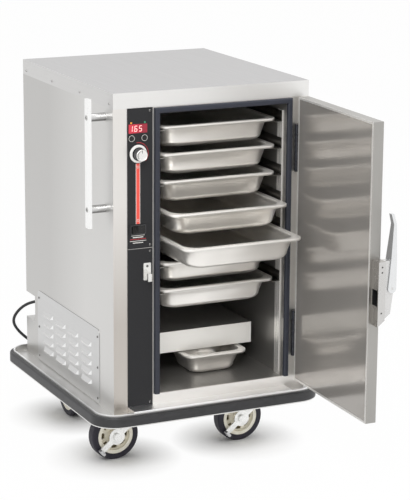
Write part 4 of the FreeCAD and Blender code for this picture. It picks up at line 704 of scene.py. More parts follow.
# Wheels by their corner, pans, and the finish of each node whose own mesh or shape is shown
CORNERS = ("front_left", "front_right", "rear_left", "rear_right")
PANS = ("pan_1", "pan_2", "pan_3", "pan_4", "pan_5", "pan_6", "pan_7", "water_pan")
FINISH = {
    "left_side_panel": SIDE_SHEET, "right_side_panel": SIDE_SHEET, "rear_panel": SIDE_SHEET,
    "vent_panel": VENT_STEEL, "top_cap": LID_SHEET, "front_frame": FRONT_SHEET, "door_outer_skin": DOOR_FOLD,
    "door_inner_skin": DOOR_SHEET, "liner": LINER_SHEET, "heater_shroud": SHROUD_SHEET,
    "rack_uprights": UPRIGHT_SHEET, "pan_slides": RACK_SHEET, "push_handle": HANDLE_STEEL,
    "base_tray": TRAY_SHEET, "bumper": BUMPER_VINYL, "control_panel": COLUMN_COAT, "lower_panel": COLUMN_COAT,
    "door_gasket": SEAL_SILICONE, "insulation": WOOL, "door_core": WOOL, "heating_element": ELEMENT_STEEL,
    "control_board": BOARD_GREEN, "display_window": WINDOW_ACRYLIC, "indicator_lamps": LAMP_LENSES,
    "button_left": BLACK_PLASTIC, "button_right": BLACK_PLASTIC, "switch_rocker": BLACK_PLASTIC,
    "latch_body": LATCH_CASTING, "latch_lever": LEVER_CHROME, "latch_strike": STRIKE_CHROME,
    "hinge_frame_leaves": HINGE_STEEL, "hinge_door_leaves": HINGE_STEEL, "caster_plates": CASTER_ZINC,
    "rear_forks": CASTER_ZINC, "front_left_fork": CASTER_ZINC, "front_right_fork": CASTER_ZINC,
    "front_left_brake": CASTER_ZINC, "front_right_brake": CASTER_ZINC, "cord_gland": CORD_VINYL,
}
for pan in PANS:
    FINISH[pan] = drawn_pan("drawn_stainless_" + pan, pan, "#FAF7F2", "#F0EDE8")
for corner in CORNERS:
    FINISH[corner + "_hub"] = HUB_NYLON
    FINISH[corner + "_tyre"] = TYRE_RUBBER

# Nodes whose folded or moulded edges are eased, with the width in millimetres
EASED = {
    "top_cap": 1.2, "front_frame": 0.5, "door_outer_skin": 1.0, "door_inner_skin": 0.6, "push_handle": 1.5,
    "left_side_panel": 0.4, "right_side_panel": 0.4, "latch_body": 1.5, "latch_lever": 1.6,
    "heater_shroud": 0.5, "control_panel": 0.5, "lower_panel": 0.4, "switch_rocker": 0.8, "vent_panel": 0.4,
    "front_left_brake": 0.8, "front_right_brake": 0.8,
}


def dress_nodes():
    """Gives the nodes their materials and eases the folded edges."""
    for node, material in FINISH.items():
        slots = NODES[node].data.materials
        slots.clear()
        slots.append(material)
    for node, width in EASED.items():
        ease = NODES[node].modifiers.new("eased_edges", "BEVEL")
        ease.width = width * MM
        ease.segments = EASE_SEGMENTS
        ease.limit_method = "ANGLE"
        ease.angle_limit = EASE_ANGLE
        ease.harden_normals = True


def placed(name, data):
    """New object in the scene from a mesh, a curve, a lamp or a camera."""
    made = bpy.data.objects.new(name, data)
    bpy.context.scene.collection.objects.link(made)
    return made


def piece(name, shape, materials, body):
    """Object from a bmesh, riding on a body."""
    bmesh.ops.recalc_face_normals(shape, faces=shape.faces)
    mesh = bpy.data.meshes.new(name)
    shape.to_mesh(mesh)
    shape.free()
    made = placed(name, mesh)
    for material in materials:
        mesh.materials.append(material)
    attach(made, body)
    return made


def add_box(shape, low, high, ease, index=0, turn=None):
    """Adds a box with eased edges to a bmesh, turned by a matrix if one is given."""
    size = Vector(high) - Vector(low)
    middle = (Vector(high) + Vector(low)) / 2
    place = Matrix.Translation(middle) @ Matrix.Diagonal((*size, 1.0))
    before = set(shape.faces)
    made = bmesh.ops.create_cube(shape, size=1.0, matrix=place)
    edges = list({edge for vert in made["verts"] for edge in vert.link_edges})
    bmesh.ops.bevel(shape, geom=edges, offset=ease, segments=EASE_SEGMENTS, affect="EDGES",
                    profile=EASE_ROUND)
    faces = set(shape.faces) - before
    for face in faces:
        face.material_index = index
    if turn:
        points = list({vert for face in faces for vert in face.verts})
        bmesh.ops.transform(shape, matrix=turn, verts=points)


def join_rings(shape, rings, smooth=True):
    """Joins each closed ring of points to the next and gives the bands of faces between them."""
    bands = []
    for here, there in zip(rings, rings[1:]):
        corners = zip(here, here[1:] + here[:1], there[1:] + there[:1], there)
        band = [shape.faces.new(four) for four in corners]
        for face in band:
            face.smooth = smooth
        bands.append(band)
    return bands


def turned_frame(axis):
    """Two directions across a level axis; for one that points forward they are right and up."""
    first = UP.cross(axis).normalized()
    return first, axis.cross(first).normalized()


def scaled(outline, radius, length):
    """Turned outline in real sizes from shares of a radius and a length."""
    return [(radius * wide, length * along) for wide, along in outline]


def add_lathe(shape, profile, foot, axis, steps, index=0, start=0.0, sweep=FULL_TURN):
    """Adds a turned form: profile pairs are radius and distance along the axis."""
    first, second = turned_frame(axis)
    closed = sweep >= FULL_TURN
    count = steps if closed else steps + 1
    rings = []
    for step in range(count):
        angle = math.radians(start + sweep * step / steps)
        out = first * math.cos(angle) + second * math.sin(angle)
        rings.append([shape.verts.new(foot + out * radius + axis * along) for radius, along in profile])
    for step in range(count if closed else count - 1):
        here = rings[step]
        there = rings[(step + 1) % count]
        for low in range(len(profile) - 1):
            face = shape.faces.new([here[low], there[low], there[low + 1], here[low + 1]])
            face.material_index = index
            face.smooth = True
    if not closed:
        for cap in (rings[0], rings[-1]):
            shape.faces.new(cap).material_index = index
    bmesh.ops.remove_doubles(shape, verts=[vert for ring in rings for vert in ring], dist=WELD)


def add_screw(shape, seat, outward, radius, height, index=0):
    """Adds a domed screw head with a cross recess: a flat cross of painted shade just over the crown, which
    takes the next material.
    """
    add_lathe(shape, scaled(SCREW_OUTLINE, radius, height), seat, outward, SCREW_STEPS, index)
    first, second = turned_frame(outward)
    crown = seat + outward * height * CROSS_LIFT
    for along, across in ((first, second), (second, first)):
        reach = along * radius * CROSS_LENGTH
        side = across * radius * CROSS_WIDTH
        corners = [crown - reach - side, crown + reach - side, crown + reach + side, crown - reach + side]
        face = shape.faces.new([shape.verts.new(corner) for corner in corners])
        face.material_index = index + 1


def islands(node):
    """Boxes of the separate solids of a node, as low and high corners."""
    mesh = NODES[node].data
    keys = [tuple(round(value / WELD_STEP) for value in vert.co) for vert in mesh.vertices]
    parent = {key: key for key in keys}

    def root(key):
        while parent[key] != key:
            parent[key] = parent[parent[key]]
            key = parent[key]
        return key

    for edge in mesh.edges:
        first, second = (root(keys[vertex]) for vertex in edge.vertices)
        parent[first] = second
    solids = {}
    for key, vert in zip(keys, mesh.vertices):
        solids.setdefault(root(key), []).append(vert.co)
    return sorted(map(box_round, solids.values()), key=lambda pair: tuple(pair[0]))


def skin_screws():
    """Screw heads on the skins, where the CAD screws are."""
    shape = bmesh.new()
    for low, high in islands("screws"):
        size = high - low
        middle = (low + high) / 2
        if size.x < size.y:
            side = LEFTWARD if middle.x < 0 else RIGHTWARD
            seat = Vector((high.x if middle.x < 0 else low.x, middle.y, middle.z))
        else:
            side = FORWARD
            seat = Vector((middle.x, high.y, middle.z))
        on_lid = size.x < size.y and middle.z > LID_SCREWS_ABOVE
        add_screw(shape, seat, side, SCREW_RADIUS, SCREW_HEIGHT, LID_SCREW_INDEX if on_lid else 0)
    # The second and fourth finishes are the painted shade in the cross recesses
    finishes = [SCREW_STEEL, SHADOW_DARK, LID_SCREW_STEEL, SCREW_STEEL]
    made = piece("skin_screws", shape, finishes, "cabinet")
    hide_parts("screws")


def handle_plugs():
    """Round plugs over the two screws that hold the push handle."""
    shape = bmesh.new()
    low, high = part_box("push_handle")
    middle = centre("push_handle").y
    for z in (low[2] + HANDLE_POST_INSET, high[2] - HANDLE_POST_INSET):
        add_screw(shape, Vector((low[0], middle, z)), LEFTWARD, PLUG_SCREW_RADIUS, PLUG_SCREW_HEIGHT)
    # The second finish is the painted shade in the cross recesses
    piece("handle_plugs", shape, [LID_SCREW_STEEL, SCREW_STEEL], "cabinet")


def door_hem():
    """Bright folded hem round the inner skin of the door."""
    shape = bmesh.new()
    low, high = door_box("door_inner_skin")
    left = low.x + HEM_WIDTH
    right = high.x - HEM_WIDTH
    back = high.y - HEM_PROUD
    front = high.y + HEM_PROUD
    strips = (
        ((low.x, back, low.z), (left, front, high.z)), ((right, back, low.z), (high.x, front, high.z)),
        ((left, back, low.z), (right, front, low.z + HEM_WIDTH)),
        ((left, back, high.z - HEM_WIDTH), (right, front, high.z)),
    )
    for near, far in strips:
        add_box(shape, near, far, HEM_PROUD / 2, 0, DOOR_TURN)
    piece("door_hem", shape, [DOOR_HEM], "door")


def latch_screws():
    """Small screws in the free edge of the latch block."""
    shape = bmesh.new()
    outward = DOOR_TURN @ LEFTWARD
    middle = (LATCH_JOINT_Y + LATCH_HIGH.y) / 2
    for z in (LATCH_LOW.z + LATCH_SCREW_LOW, LATCH_HIGH.z - LATCH_SCREW_INSET,
              LATCH_HIGH.z - 2 * LATCH_SCREW_INSET):
        seat = DOOR_TURN @ Vector((LATCH_LOW.x, middle, z))
        add_screw(shape, seat, outward, LATCH_SCREW_RADIUS, LATCH_SCREW_HEIGHT)
    # The second finish is the painted shade in the cross recesses
    piece("latch_screws", shape, [SCREW_STEEL, SHADOW_DARK], "door")


def latch_pocket():
    """Painted shade: thin dark sheets inside the pocket that takes the strike."""
    shape = bmesh.new()
    left = LATCH_LOW.x + POCKET_WALL
    right = LATCH_HIGH.x - POCKET_WALL
    floor_y = LATCH_HIGH.y - POCKET_DEPTH
    low = LATCH_LOW.z + POCKET_UP
    high = low + POCKET_HEIGHT
    thick = POCKET_SHADE_THICK
    walls = (
        ((left, floor_y, low), (right, floor_y + thick, high)),
        ((left, floor_y, low), (left + thick, LATCH_HIGH.y, high)),
        ((right - thick, floor_y, low), (right, LATCH_HIGH.y, high)),
        ((left, floor_y, low), (right, LATCH_HIGH.y, low + thick)),
        ((left, floor_y, high - thick), (right, LATCH_HIGH.y, high)),
    )
    for near, far in walls:
        add_box(shape, near, far, thick * THIN_EASE, 0, DOOR_TURN)
    piece("latch_pocket_shade", shape, [SHADOW_DARK], "door")


def brake_pads():
    """Ribbed foot pad on each end of the two brake bars."""
    for corner in ("front_left", "front_right"):
        node = corner + "_brake"
        wheel = centre(corner + "_tyre")
        turn = (Matrix.Translation(wheel) @ Matrix.Rotation(BRAKE_ANGLE, 4, "Y")
                @ Matrix.Translation(-wheel))
        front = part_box(node)[0][1] - PAD_OUTSIDE
        shape = bmesh.new()
        for end in (-1, 1):
            tip = wheel.x + end * (BRAKE_REACH + PAD_OUTSIDE)
            root = tip - end * PAD_LENGTH
            low = Vector((min(tip, root), front, wheel.z - PAD_HALF_HEIGHT))
            high = Vector((max(tip, root), front + PAD_DEPTH, wheel.z + PAD_HALF_HEIGHT))
            add_box(shape, low, high, PAD_EASE, 0, turn)
            for rib in range(PAD_RIBS):
                z = low.z + (high.z - low.z) * (rib + 1) / (PAD_RIBS + 1)
                add_box(shape, (low.x - PAD_RIB, front + PAD_RIB, z - PAD_RIB),
                        (high.x + PAD_RIB, front + PAD_DEPTH - PAD_RIB, z + PAD_RIB), PAD_EASE / 2, 0, turn)
        piece(node + "_pads", shape, [PAD_STEEL], node)


def hub_slots():
    """Floor of the slots in each hub, in the middle of its web, dark brown as painted shade."""
    for corner in CORNERS:
        shape = bmesh.new()
        foot = centre(corner + "_hub") + FORWARD * SLOT_FLOOR / 2
        profile = ((SLOT_INNER, 0.0), (SLOT_OUTER, 0.0), (SLOT_OUTER, SLOT_FLOOR), (SLOT_INNER, SLOT_FLOOR),
                   (SLOT_INNER, 0.0))
        add_lathe(shape, profile, foot, -FORWARD, RING_STEPS)
        piece(corner + "_hub_slots", shape, [SLOT_SHADE], corner + "_wheel")


def pan_profile(depth):
    """Section of a pan, from outer floor over rim to inner floor: inset, drop from the rim and corner."""
    walls = []
    for sheet in (0.0, PAN_SHEET):
        radius = PAN_FLOOR_ROUND - sheet
        wall = []
        for step in range(PAN_ROUND_STEPS + 1):
            angle = math.pi / 2 * step / PAN_ROUND_STEPS
            inset = PAN_RIM + PAN_STEP + PAN_TAPER + sheet + radius * (1 - math.sin(angle))
            drop = depth - sheet - radius * (1 - math.cos(angle))
            wall.append((inset, drop, PAN_CORNER - PAN_TAPER / 2))
        wall.append((PAN_RIM + PAN_STEP + sheet, PAN_SHOULDER + PAN_EASE, PAN_CORNER))
        wall.append((PAN_RIM + sheet, PAN_SHOULDER - PAN_EASE, PAN_CORNER))
        walls.append(wall)
    outer, inner = walls
    under = [(PAN_RIM, PAN_SHEET, PAN_CORNER)]
    turned = ((PAN_SHEET, PAN_SHEET), (PAN_SHEET, PAN_LIP), (0.0, PAN_LIP), (0.0, PAN_EASE),
              (PAN_EASE / 3, PAN_EASE / 3), (PAN_EASE, 0.0))
    lip = [(inset, drop, PAN_LIP_CORNER) for inset, drop in turned]
    eased = ((PAN_RIM - PAN_EASE, 0.0), (PAN_RIM + PAN_SHEET - PAN_EASE / 2, PAN_EASE / 3),
             (PAN_RIM + PAN_SHEET, PAN_EASE))
    mouth = [(inset, drop, PAN_CORNER) for inset, drop in eased]
    return outer + under + lip + mouth + inner[::-1]


def rounded_ring(shape, low, high, inset, corner, z):
    """Ring of points round a box with rounded corners."""
    ring = []
    radius = min(corner, PAN_CORNER_SHARE * (high[0] - low[0]))
    for quarter, (across, along) in enumerate(((1, 1), (-1, 1), (-1, -1), (1, -1))):
        x = (high if across > 0 else low)[0] - across * (inset + radius)
        y = (high if along > 0 else low)[1] - along * (inset + radius)
        for step in range(PAN_CORNER_STEPS + 1):
            angle = math.pi / 2 * (quarter + step / PAN_CORNER_STEPS)
            ring.append(shape.verts.new((x + radius * math.cos(angle), y + radius * math.sin(angle), z)))
    return ring


def drawn_pans():
    """Pans drawn from sheet: a rim with a turned-down lip, a stacking shoulder and well rounded corners."""
    for node in PANS:
        shape = bmesh.new()
        low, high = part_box(node)
        rings = []
        for inset, drop, corner in pan_profile(high[2] - low[2]):
            rings.append(rounded_ring(shape, low, high, inset, corner, high[2] - drop))
        join_rings(shape, rings)
        for floor_ring in (rings[0], rings[-1]):
            shape.faces.new(floor_ring).smooth = True
        made = piece(node + "_pressing", shape, [FINISH[node]], node)
        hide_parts(node)


def add_print(shape, x, z, width, height, index=0, lift=1, face=COLUMN_FACE):
    """Adds a printed bar to the column, or to another face in front of it."""
    low = (x - width / 2, face - PRINT_THICK * lift, z - height / 2)
    high = (x + width / 2, face + PRINT_THICK, z + height / 2)
    add_box(shape, low, high, PRINT_THICK * THIN_EASE, index)


def add_print_ring(shape, x, z, inner, outer, y, index=0, start=0.0, sweep=FULL_TURN):
    """Adds a printed ring or arc; angles run from the right, upwards."""
    profile = [(inner, 0.0), (outer, 0.0), (outer, PRINT_THICK), (inner, PRINT_THICK)]
    if sweep >= FULL_TURN:
        profile.append(profile[0])
    add_lathe(shape, profile, Vector((x, y, z)), FORWARD, RING_STEPS, index, start, sweep)


def control_print():
    """Red stripe with pale edges, the arc round the knob and plain bars under the switch."""
    shape = bmesh.new()
    middle = (STRIPE_LOW + STRIPE_HIGH) / 2
    height = STRIPE_HIGH - STRIPE_LOW
    add_print(shape, CONTROL_X, middle, STRIPE_WIDTH + 2 * STRIPE_EDGE, height, 1)
    add_print(shape, CONTROL_X, middle, STRIPE_WIDTH, height, 0, 2)
    stripe_face = COLUMN_FACE - 2 * PRINT_THICK
    for z in (STRIPE_LOW + STRIPE_RING_INSET, STRIPE_HIGH - STRIPE_RING_INSET):
        add_print_ring(shape, CONTROL_X, z, STRIPE_RING_INNER, STRIPE_RING_OUTER, stripe_face, 1)
    add_print_ring(shape, CONTROL_X, KNOB_Z, SCALE_RADIUS, SCALE_RADIUS + SCALE_WIDTH, COLUMN_FACE, 2,
                   SCALE_START, SCALE_SWEEP)
    switch = centre("switch_rocker")
    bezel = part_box("control_panel")[0][1]
    for side in (-1, 1):
        x = CONTROL_X + side * SWITCH_FRAME_WIDE / 2
        z = switch.z + side * SWITCH_FRAME_TALL / 2
        add_print(shape, x, switch.z, SWITCH_LINE, SWITCH_FRAME_TALL, 3, face=bezel)
        add_print(shape, CONTROL_X, z, SWITCH_FRAME_WIDE, SWITCH_LINE, 3, face=bezel)
    for number, (width, thick) in enumerate(LEGEND_BARS):
        index = 2 if number == LEGEND_RED_BAR else 1
        z = switch.z - LEGEND_DOWN - number * LEGEND_PITCH
        add_print(shape, CONTROL_X, z, width * MM, thick * MM, index)
    piece("control_print", shape, [INK_RED, INK_WHITE, INK_DARK_RED, INK_GREY], "cabinet")


def column_trim():
    """Thin bright strips along the right edge of the column and under the controls."""
    shape = bmesh.new()
    upper_low, upper_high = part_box("control_panel")
    lower_low, lower_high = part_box("lower_panel")
    right = upper_high[0]
    front = COLUMN_FACE - TRIM_PROUD
    back = COLUMN_FACE + TRIM_PROUD
    strips = (
        ((right - TRIM_WIDTH, front, upper_low[2]), (right, back, upper_high[2])),
        ((right - TRIM_WIDTH, front, lower_low[2]), (right, back, lower_high[2])),
        ((upper_low[0], front, upper_low[2]), (right, back, upper_low[2] + TRIM_WIDTH)),
    )
    for near, far in strips:
        add_box(shape, near, far, TRIM_PROUD * THIN_EASE)
    piece("column_trim", shape, [TRIM_STEEL], "cabinet")


def display_digits():
    """Seven-segment digits in the display window."""
    shape = bmesh.new()
    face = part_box("display_window")[0][1]
    middle_z = centre("display_window").z
    half_h = DIGIT_HEIGHT / 2
    half_w = DIGIT_WIDTH / 2
    stroke = DIGIT_STROKE / 2
    flat = half_w - stroke - DIGIT_GAP
    tall = (half_h - stroke) / 2 - DIGIT_GAP
    places = {
        "a": (0.0, half_h - stroke, flat, stroke), "g": (0.0, 0.0, flat, stroke),
        "d": (0.0, stroke - half_h, flat, stroke), "f": (stroke - half_w, half_h / 2, stroke, tall),
        "b": (half_w - stroke, half_h / 2, stroke, tall), "e": (stroke - half_w, -half_h / 2, stroke, tall),
        "c": (half_w - stroke, -half_h / 2, stroke, tall),
    }
    for place, digit in enumerate(DIGITS):
        x = CONTROL_X + DIGIT_SHIFT + (place - len(DIGITS) // 2) * DIGIT_PITCH
        for segment in SEGMENTS[digit]:
            dx, dz, wide, high = places[segment]
            before = set(shape.verts)
            add_box(shape, (x + dx - wide, face - PRINT_THICK, middle_z + dz - high),
                    (x + dx + wide, face + PRINT_THICK, middle_z + dz + high), PRINT_THICK / 2)
            for vert in set(shape.verts) - before:
                vert.co.x += (vert.co.z - middle_z) * DIGIT_LEAN
    piece("display_digits", shape, [DIGIT_GLOW], "cabinet")


def button_rings():
    """Pale printed ring on the face of each button."""
    for node in ("button_left", "button_right"):
        low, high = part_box(node)
        middle = centre(node)
        outer = (high[0] - low[0]) / 2 - RING_INSET
        shape = bmesh.new()
        add_print_ring(shape, middle.x, middle.z, outer - RING_WIDTH, outer, low[1])
        piece(node + "_ring", shape, [INK_WHITE], node)


def knob():
    """Knob: white skirt with a groove painted dark as shade, a ribbed grip and a pointer line."""
    foot = Vector((CONTROL_X, COLUMN_FACE - KNOB_GAP, KNOB_Z))
    edge = KNOB_SKIRT_THICK
    skirt = bmesh.new()
    outside = scaled(KNOB_SKIRT_OUTLINE, KNOB_SKIRT_RADIUS, edge) + [(KNOB_GROOVE_RADIUS, edge)]
    add_lathe(skirt, outside, foot, FORWARD, KNOB_STEPS)
    depth = edge * KNOB_GROOVE_FLOOR
    groove = ((KNOB_GROOVE_RADIUS, edge), (KNOB_GROOVE_RADIUS * KNOB_GROOVE_TAPER, depth),
              (KNOB_CAP_RADIUS * KNOB_GROOVE_INNER, depth))
    # The groove takes the black plastic as painted shade round the grip
    add_lathe(skirt, groove, foot, FORWARD, KNOB_STEPS, 1)
    made = piece("knob_skirt", skirt, [SKIRT_PLASTIC, BLACK_PLASTIC], "control_knob")
    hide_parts("control_knob")
    knob_cap(foot)
    line = bmesh.new()
    front = foot.y - KNOB_LENGTH
    low = (CONTROL_X - POINTER_HALF, front, foot.z + KNOB_CAP_RADIUS * POINTER_INNER)
    high = (CONTROL_X + POINTER_HALF, front + 2 * POINTER_HALF, foot.z + KNOB_CAP_RADIUS * POINTER_OUTER)
    add_box(line, low, high, POINTER_EASE)
    piece("knob_pointer", line, [BLACK_PLASTIC], "control_knob")


def knob_cap(foot):
    """Ribbed dark grip of the knob, with a bright dished disc on its end."""
    shape = bmesh.new()
    first, second = turned_frame(FORWARD)
    levels = scaled(KNOB_GRIP_FOOT, 1.0, KNOB_SKIRT_THICK) + scaled(KNOB_GRIP_END, 1.0, KNOB_LENGTH)
    levels += [(share, KNOB_LENGTH - KNOB_DISH_DEPTH) for share in KNOB_DISH]
    rings = []
    for level, (share, along) in enumerate(levels):
        ring = []
        for step in range(KNOB_STEPS):
            angle = 2 * math.pi * step / KNOB_STEPS
            ribbed = level in KNOB_RIBBED_LEVELS
            rib = KNOB_RIB_DEPTH * math.cos(KNOB_RIBS * angle) if ribbed else 0.0
            radius = KNOB_CAP_RADIUS * (share + rib - KNOB_RIB_DEPTH)
            out = first * math.cos(angle) + second * math.sin(angle)
            ring.append(shape.verts.new(foot + out * radius + FORWARD * along))
        rings.append(ring)
    for band in join_rings(shape, rings)[:KNOB_GRIP_BANDS]:
        for face in band:
            face.material_index = 1
    shape.faces.new(rings[-1])
    spun = spun_aluminium("spun_aluminium_cap", "#F6F5F3", "#EBEAE8", foot)
    piece("knob_cap", shape, [spun, GRIP_PLASTIC], "control_knob")


def louvre_slits():
    """Painted shadow in the openings on the underside of the louvres, and a bar of painted highlight along
    the crest of each.
    """
    shape = bmesh.new()
    low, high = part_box("vent_panel")
    face = high[0] - VENT_SHEET
    span = (LOUVRE_COLUMNS - 1) * LOUVRE_COLUMN_PITCH + LOUVRE_LENGTH
    first = low[1] + (high[1] - low[1] - span) / 2
    crest = face - LOUVRE_PROUD
    outer = crest + SLIT_MARGIN
    for number in range(LOUVRE_COLUMNS * LOUVRE_ROWS):
        y = first + number // LOUVRE_ROWS * LOUVRE_COLUMN_PITCH
        z = low[2] + LOUVRE_BOTTOM + number % LOUVRE_ROWS * LOUVRE_ROW_PITCH
        end = y + LOUVRE_LENGTH
        # Bar of painted highlight along the crest
        low_corner = (crest - SLIT_THICK, y + LOUVRE_PROUD, z)
        high_corner = (outer, end - LOUVRE_PROUD, z + HIGHLIGHT_TALL)
        add_box(shape, low_corner, high_corner, SLIT_THICK / 2, 1)
        # Dark face of painted shadow in the opening
        corners = ((face, y + 2 * SLIT_MARGIN), (outer, y + LOUVRE_PROUD + SLIT_MARGIN),
                   (outer, end - LOUVRE_PROUD - SLIT_MARGIN), (face, end - 2 * SLIT_MARGIN))
        rings = []
        for level in (z - SLIT_THICK, z):
            rings.append([shape.verts.new((x, along, level)) for x, along in corners])
            shape.faces.new(rings[-1])
        join_rings(shape, rings, smooth=False)
    piece("louvre_slits", shape, [SHADOW_DARK, LOUVRE_HIGHLIGHT], "cabinet")


def cord_route():
    """Route of the cord in metres: from the gland to the floor, round the coil and into the plug."""
    points = [CORD_START] + [CORD_START + Vector(step) for step in CORD_STEPS]
    points += [COIL_CENTRE + Vector(step) for step in COIL_LEAD_IN]
    for index in range(COIL_TURNS * COIL_POINTS + 1):
        turn = index / COIL_POINTS
        angle = 2 * math.pi * turn - math.pi / 2
        height = (1 + 2 * turn) * CORD_RADIUS / MM
        around = Vector((math.cos(angle), math.sin(angle), 0.0)) * COIL_RADIUS
        points.append(COIL_CENTRE + around + UP * height)
    points += [COIL_CENTRE + Vector(step) for step in CORD_TAIL]
    points.append(PLUG_START)
    return [point * MM for point in points]


def cord():
    """Supply cord on one smooth line, its tie and its plug."""
    route = cord_route()
    curve = bpy.data.curves.new("supply_cord", "CURVE")
    curve.dimensions = "3D"
    curve.bevel_depth = CORD_RADIUS
    curve.bevel_resolution = CORD_ROUND
    curve.resolution_u = CORD_SMOOTH
    curve.use_fill_caps = True
    line = curve.splines.new("NURBS")
    line.points.add(len(route) - 1)
    for point, place in zip(line.points, route):
        point.co = (*place, 1.0)
    line.order_u = CORD_ORDER
    line.use_endpoint_u = True
    made = placed("supply_cord", curve)
    curve.materials.append(CORD_VINYL)
    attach(made, "cabinet")
    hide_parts("cord_tube", "cord_coil")
    cord_plug()
    cord_tie()


def cord_tie():
    """Tie round the turns of the coil."""
    shape = bmesh.new()
    out = Vector((math.cos(TIE_ANGLE), math.sin(TIE_ANGLE), 0.0))
    along = UP.cross(out)
    half_w = CORD_RADIUS + TIE_THICK
    half_h = COIL_TURNS * CORD_RADIUS + TIE_THICK
    middle = COIL_CENTRE * MM + out * COIL_RADIUS * MM + UP * half_h
    rings = []
    for step in range(TIE_POINTS):
        turn = 2 * math.pi * step / TIE_POINTS
        wide = math.copysign(abs(math.cos(turn)) ** TIE_SQUARE, math.cos(turn))
        tall = math.copysign(abs(math.sin(turn)) ** TIE_SQUARE, math.sin(turn))
        ring = []
        for shrink, side in ((0.0, -1), (0.0, 1), (TIE_THICK, 1), (TIE_THICK, -1)):
            reach = out * (half_w - shrink) * wide + UP * (half_h - shrink) * tall
            ring.append(shape.verts.new(middle + reach + along * side * TIE_WIDTH / 2))
        rings.append(ring)
    join_rings(shape, rings + rings[:1], smooth=False)
    return piece("cord_tie", shape, [TIE_VINYL], "cabinet")


def cord_plug():
    """Moulded plug: ribbed neck, rounded body and three pins."""
    shape = bmesh.new()
    foot = PLUG_START * MM
    profile = [(0.0, 0.0), (PLUG_NECK_RADIUS, 0.0)]
    for rib in range(PLUG_RIBS):
        along = RIB_FIRST + RIB_PITCH * rib
        wide = RIB_RADIUS + RIB_GROWTH * rib
        inner = wide - RIB_DEPTH
        profile += [(wide, along), (wide, along + RIB_TOP)]
        profile += [(inner, along + RIB_FOOT), (inner, along + RIB_GROOVE)]
    profile += [(radius, PLUG_NECK + along) for radius, along in scaled(PLUG_BODY_OUTLINE, MM, MM)]
    add_lathe(shape, profile, foot, RIGHTWARD, PLUG_STEPS)
    start = foot.x + profile[-1][1] - BLADE_ROOT
    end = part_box("cord_plug")[1][0]
    for side in (-1, 1):
        y = foot.y + side * BLADE_SIDE
        low = (start, y - BLADE_HALF, foot.z)
        add_box(shape, low, (end, y + BLADE_HALF, foot.z + BLADE_HEIGHT), BLADE_HALF / 2, 1)
    pin = Vector((start, foot.y, foot.z - BLADE_HEIGHT))
    add_lathe(shape, scaled(EARTH_OUTLINE, EARTH_RADIUS, end - start), pin, RIGHTWARD, EARTH_STEPS, 1)
    made = piece("plug", shape, [PLUG_PLASTIC, BLADE_NICKEL], "cabinet")
    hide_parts("cord_plug")
    return made


def seen_rays(tree):
    """Share of 1 on the rays that show a surface: from the camera, in a reflection and through glass."""
    path = add(tree, "ShaderNodeLightPath")
    seen = path.outputs["Is Camera Ray"]
    for ray in ("Is Glossy Ray", "Is Transmission Ray"):
        either = add(tree, "ShaderNodeMath", {0: seen, 1: path.outputs[ray]}, operation="MAXIMUM")
        seen = either.outputs["Value"]
    return seen


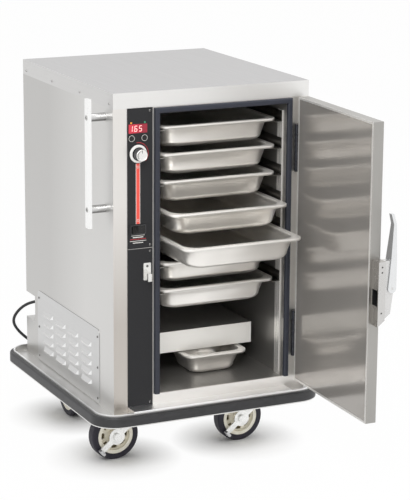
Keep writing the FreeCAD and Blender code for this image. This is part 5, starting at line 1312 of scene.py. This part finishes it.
def floor():
    """Pale floor: it keeps the shadow round the wheels and the coil, and is almost white elsewhere."""
    shape = bmesh.new()
    bmesh.ops.create_grid(shape, x_segments=2, y_segments=2, size=FLOOR_HALF)
    mesh = bpy.data.meshes.new("floor")
    shape.to_mesh(mesh)
    shape.free()
    made = placed("floor", mesh)
    material = bpy.data.materials.new("pale_floor")
    material.use_nodes = True
    tree = material.node_tree
    tree.nodes.remove(tree.nodes["Principled BSDF"])
    matt = add(tree, "ShaderNodeBsdfDiffuse", {"Color": linear(FLOOR_WHITE)})
    white = add(tree, "ShaderNodeEmission", {"Color": linear(WHITE), "Strength": 1.0})
    place = add(tree, "ShaderNodeTexCoord")
    near = FLOOR_HALF
    for spot in [centre(corner + "_tyre") for corner in CORNERS] + [COIL_CENTRE * MM]:
        spot.z = 0.0
        away = add(tree, "ShaderNodeVectorMath", {0: place.outputs["Object"], 1: spot}, operation="DISTANCE")
        nearer = add(tree, "ShaderNodeMath", {0: near, 1: away.outputs["Value"]}, operation="MINIMUM")
        near = nearer.outputs["Value"]
    whiter = add(tree, "ShaderNodeMapRange", {"Value": near, "From Min": FLOOR_NEAR, "From Max": FLOOR_FAR,
                                              "To Min": FLOOR_WHITE_SHARE, "To Max": FLOOR_WHITE_BEYOND})
    share = add(tree, "ShaderNodeMath", {0: seen_rays(tree), 1: whiter.outputs["Result"]},
                operation="MULTIPLY")
    mixed = add(tree, "ShaderNodeMixShader",
                {0: share.outputs["Value"], 1: matt.outputs["BSDF"], 2: white.outputs["Emission"]})
    tree.links.new(mixed.outputs["Shader"], tree.nodes["Material Output"].inputs["Surface"])
    mesh.materials.append(material)


def surround():
    """White surround: plain white where it is seen, softer where it lights the object."""
    world = bpy.data.worlds.new("white_surround")
    bpy.context.scene.world = world
    world.use_nodes = True
    tree = world.node_tree
    soft = tree.nodes["Background"]
    soft.inputs["Color"].default_value = linear(WHITE)
    soft.inputs["Strength"].default_value = SURROUND_LIGHT
    plain = add(tree, "ShaderNodeBackground", {"Color": linear(WHITE), "Strength": 1.0})
    mixed = add(tree, "ShaderNodeMixShader",
                {0: seen_rays(tree), 1: soft.outputs["Background"], 2: plain.outputs["Background"]})
    tree.links.new(mixed.outputs["Shader"], tree.nodes["World Output"].inputs["Surface"])


def lamps():
    """Soft square lamps aimed at the middle of the object; the fill lamp has no mirror image on the metal."""
    for name, place, size, power in LAMPS:
        light = bpy.data.lights.new(name, "AREA")
        light.size = size
        light.energy = power
        made = placed(name, light)
        made.location = place
        made.visible_glossy = name not in UNSEEN_LAMPS
        aim = Vector(LAMP_TARGET) - Vector(place)
        made.rotation_euler = aim.to_track_quat("-Z", "Y").to_euler()


def camera():
    """Camera at the photograph's viewing angle."""
    data = bpy.data.cameras.new("camera")
    data.sensor_width = SENSOR
    data.lens = CAMERA_FOCAL_PIXELS / PICTURE_LONG_SIDE * SENSOR
    data.clip_end = CAMERA_REACH
    made = placed("camera", data)
    turn = (Matrix.Rotation(-CAMERA_YAW, 4, "Z") @ Matrix.Rotation(math.pi / 2 - CAMERA_PITCH, 4, "X")
            @ Matrix.Rotation(CAMERA_ROLL, 4, "Z"))
    made.matrix_world = Matrix.Translation(CAMERA_PLACE) @ turn
    bpy.context.scene.camera = made


dress_nodes()
skin_screws()
handle_plugs()
door_hem()
latch_screws()
latch_pocket()
brake_pads()
hub_slots()
drawn_pans()
control_print()
column_trim()
display_digits()
button_rings()
knob()
louvre_slits()
cord()
floor()
surround()
lamps()
camera()
bpy.context.scene.view_settings.view_transform = "Standard"
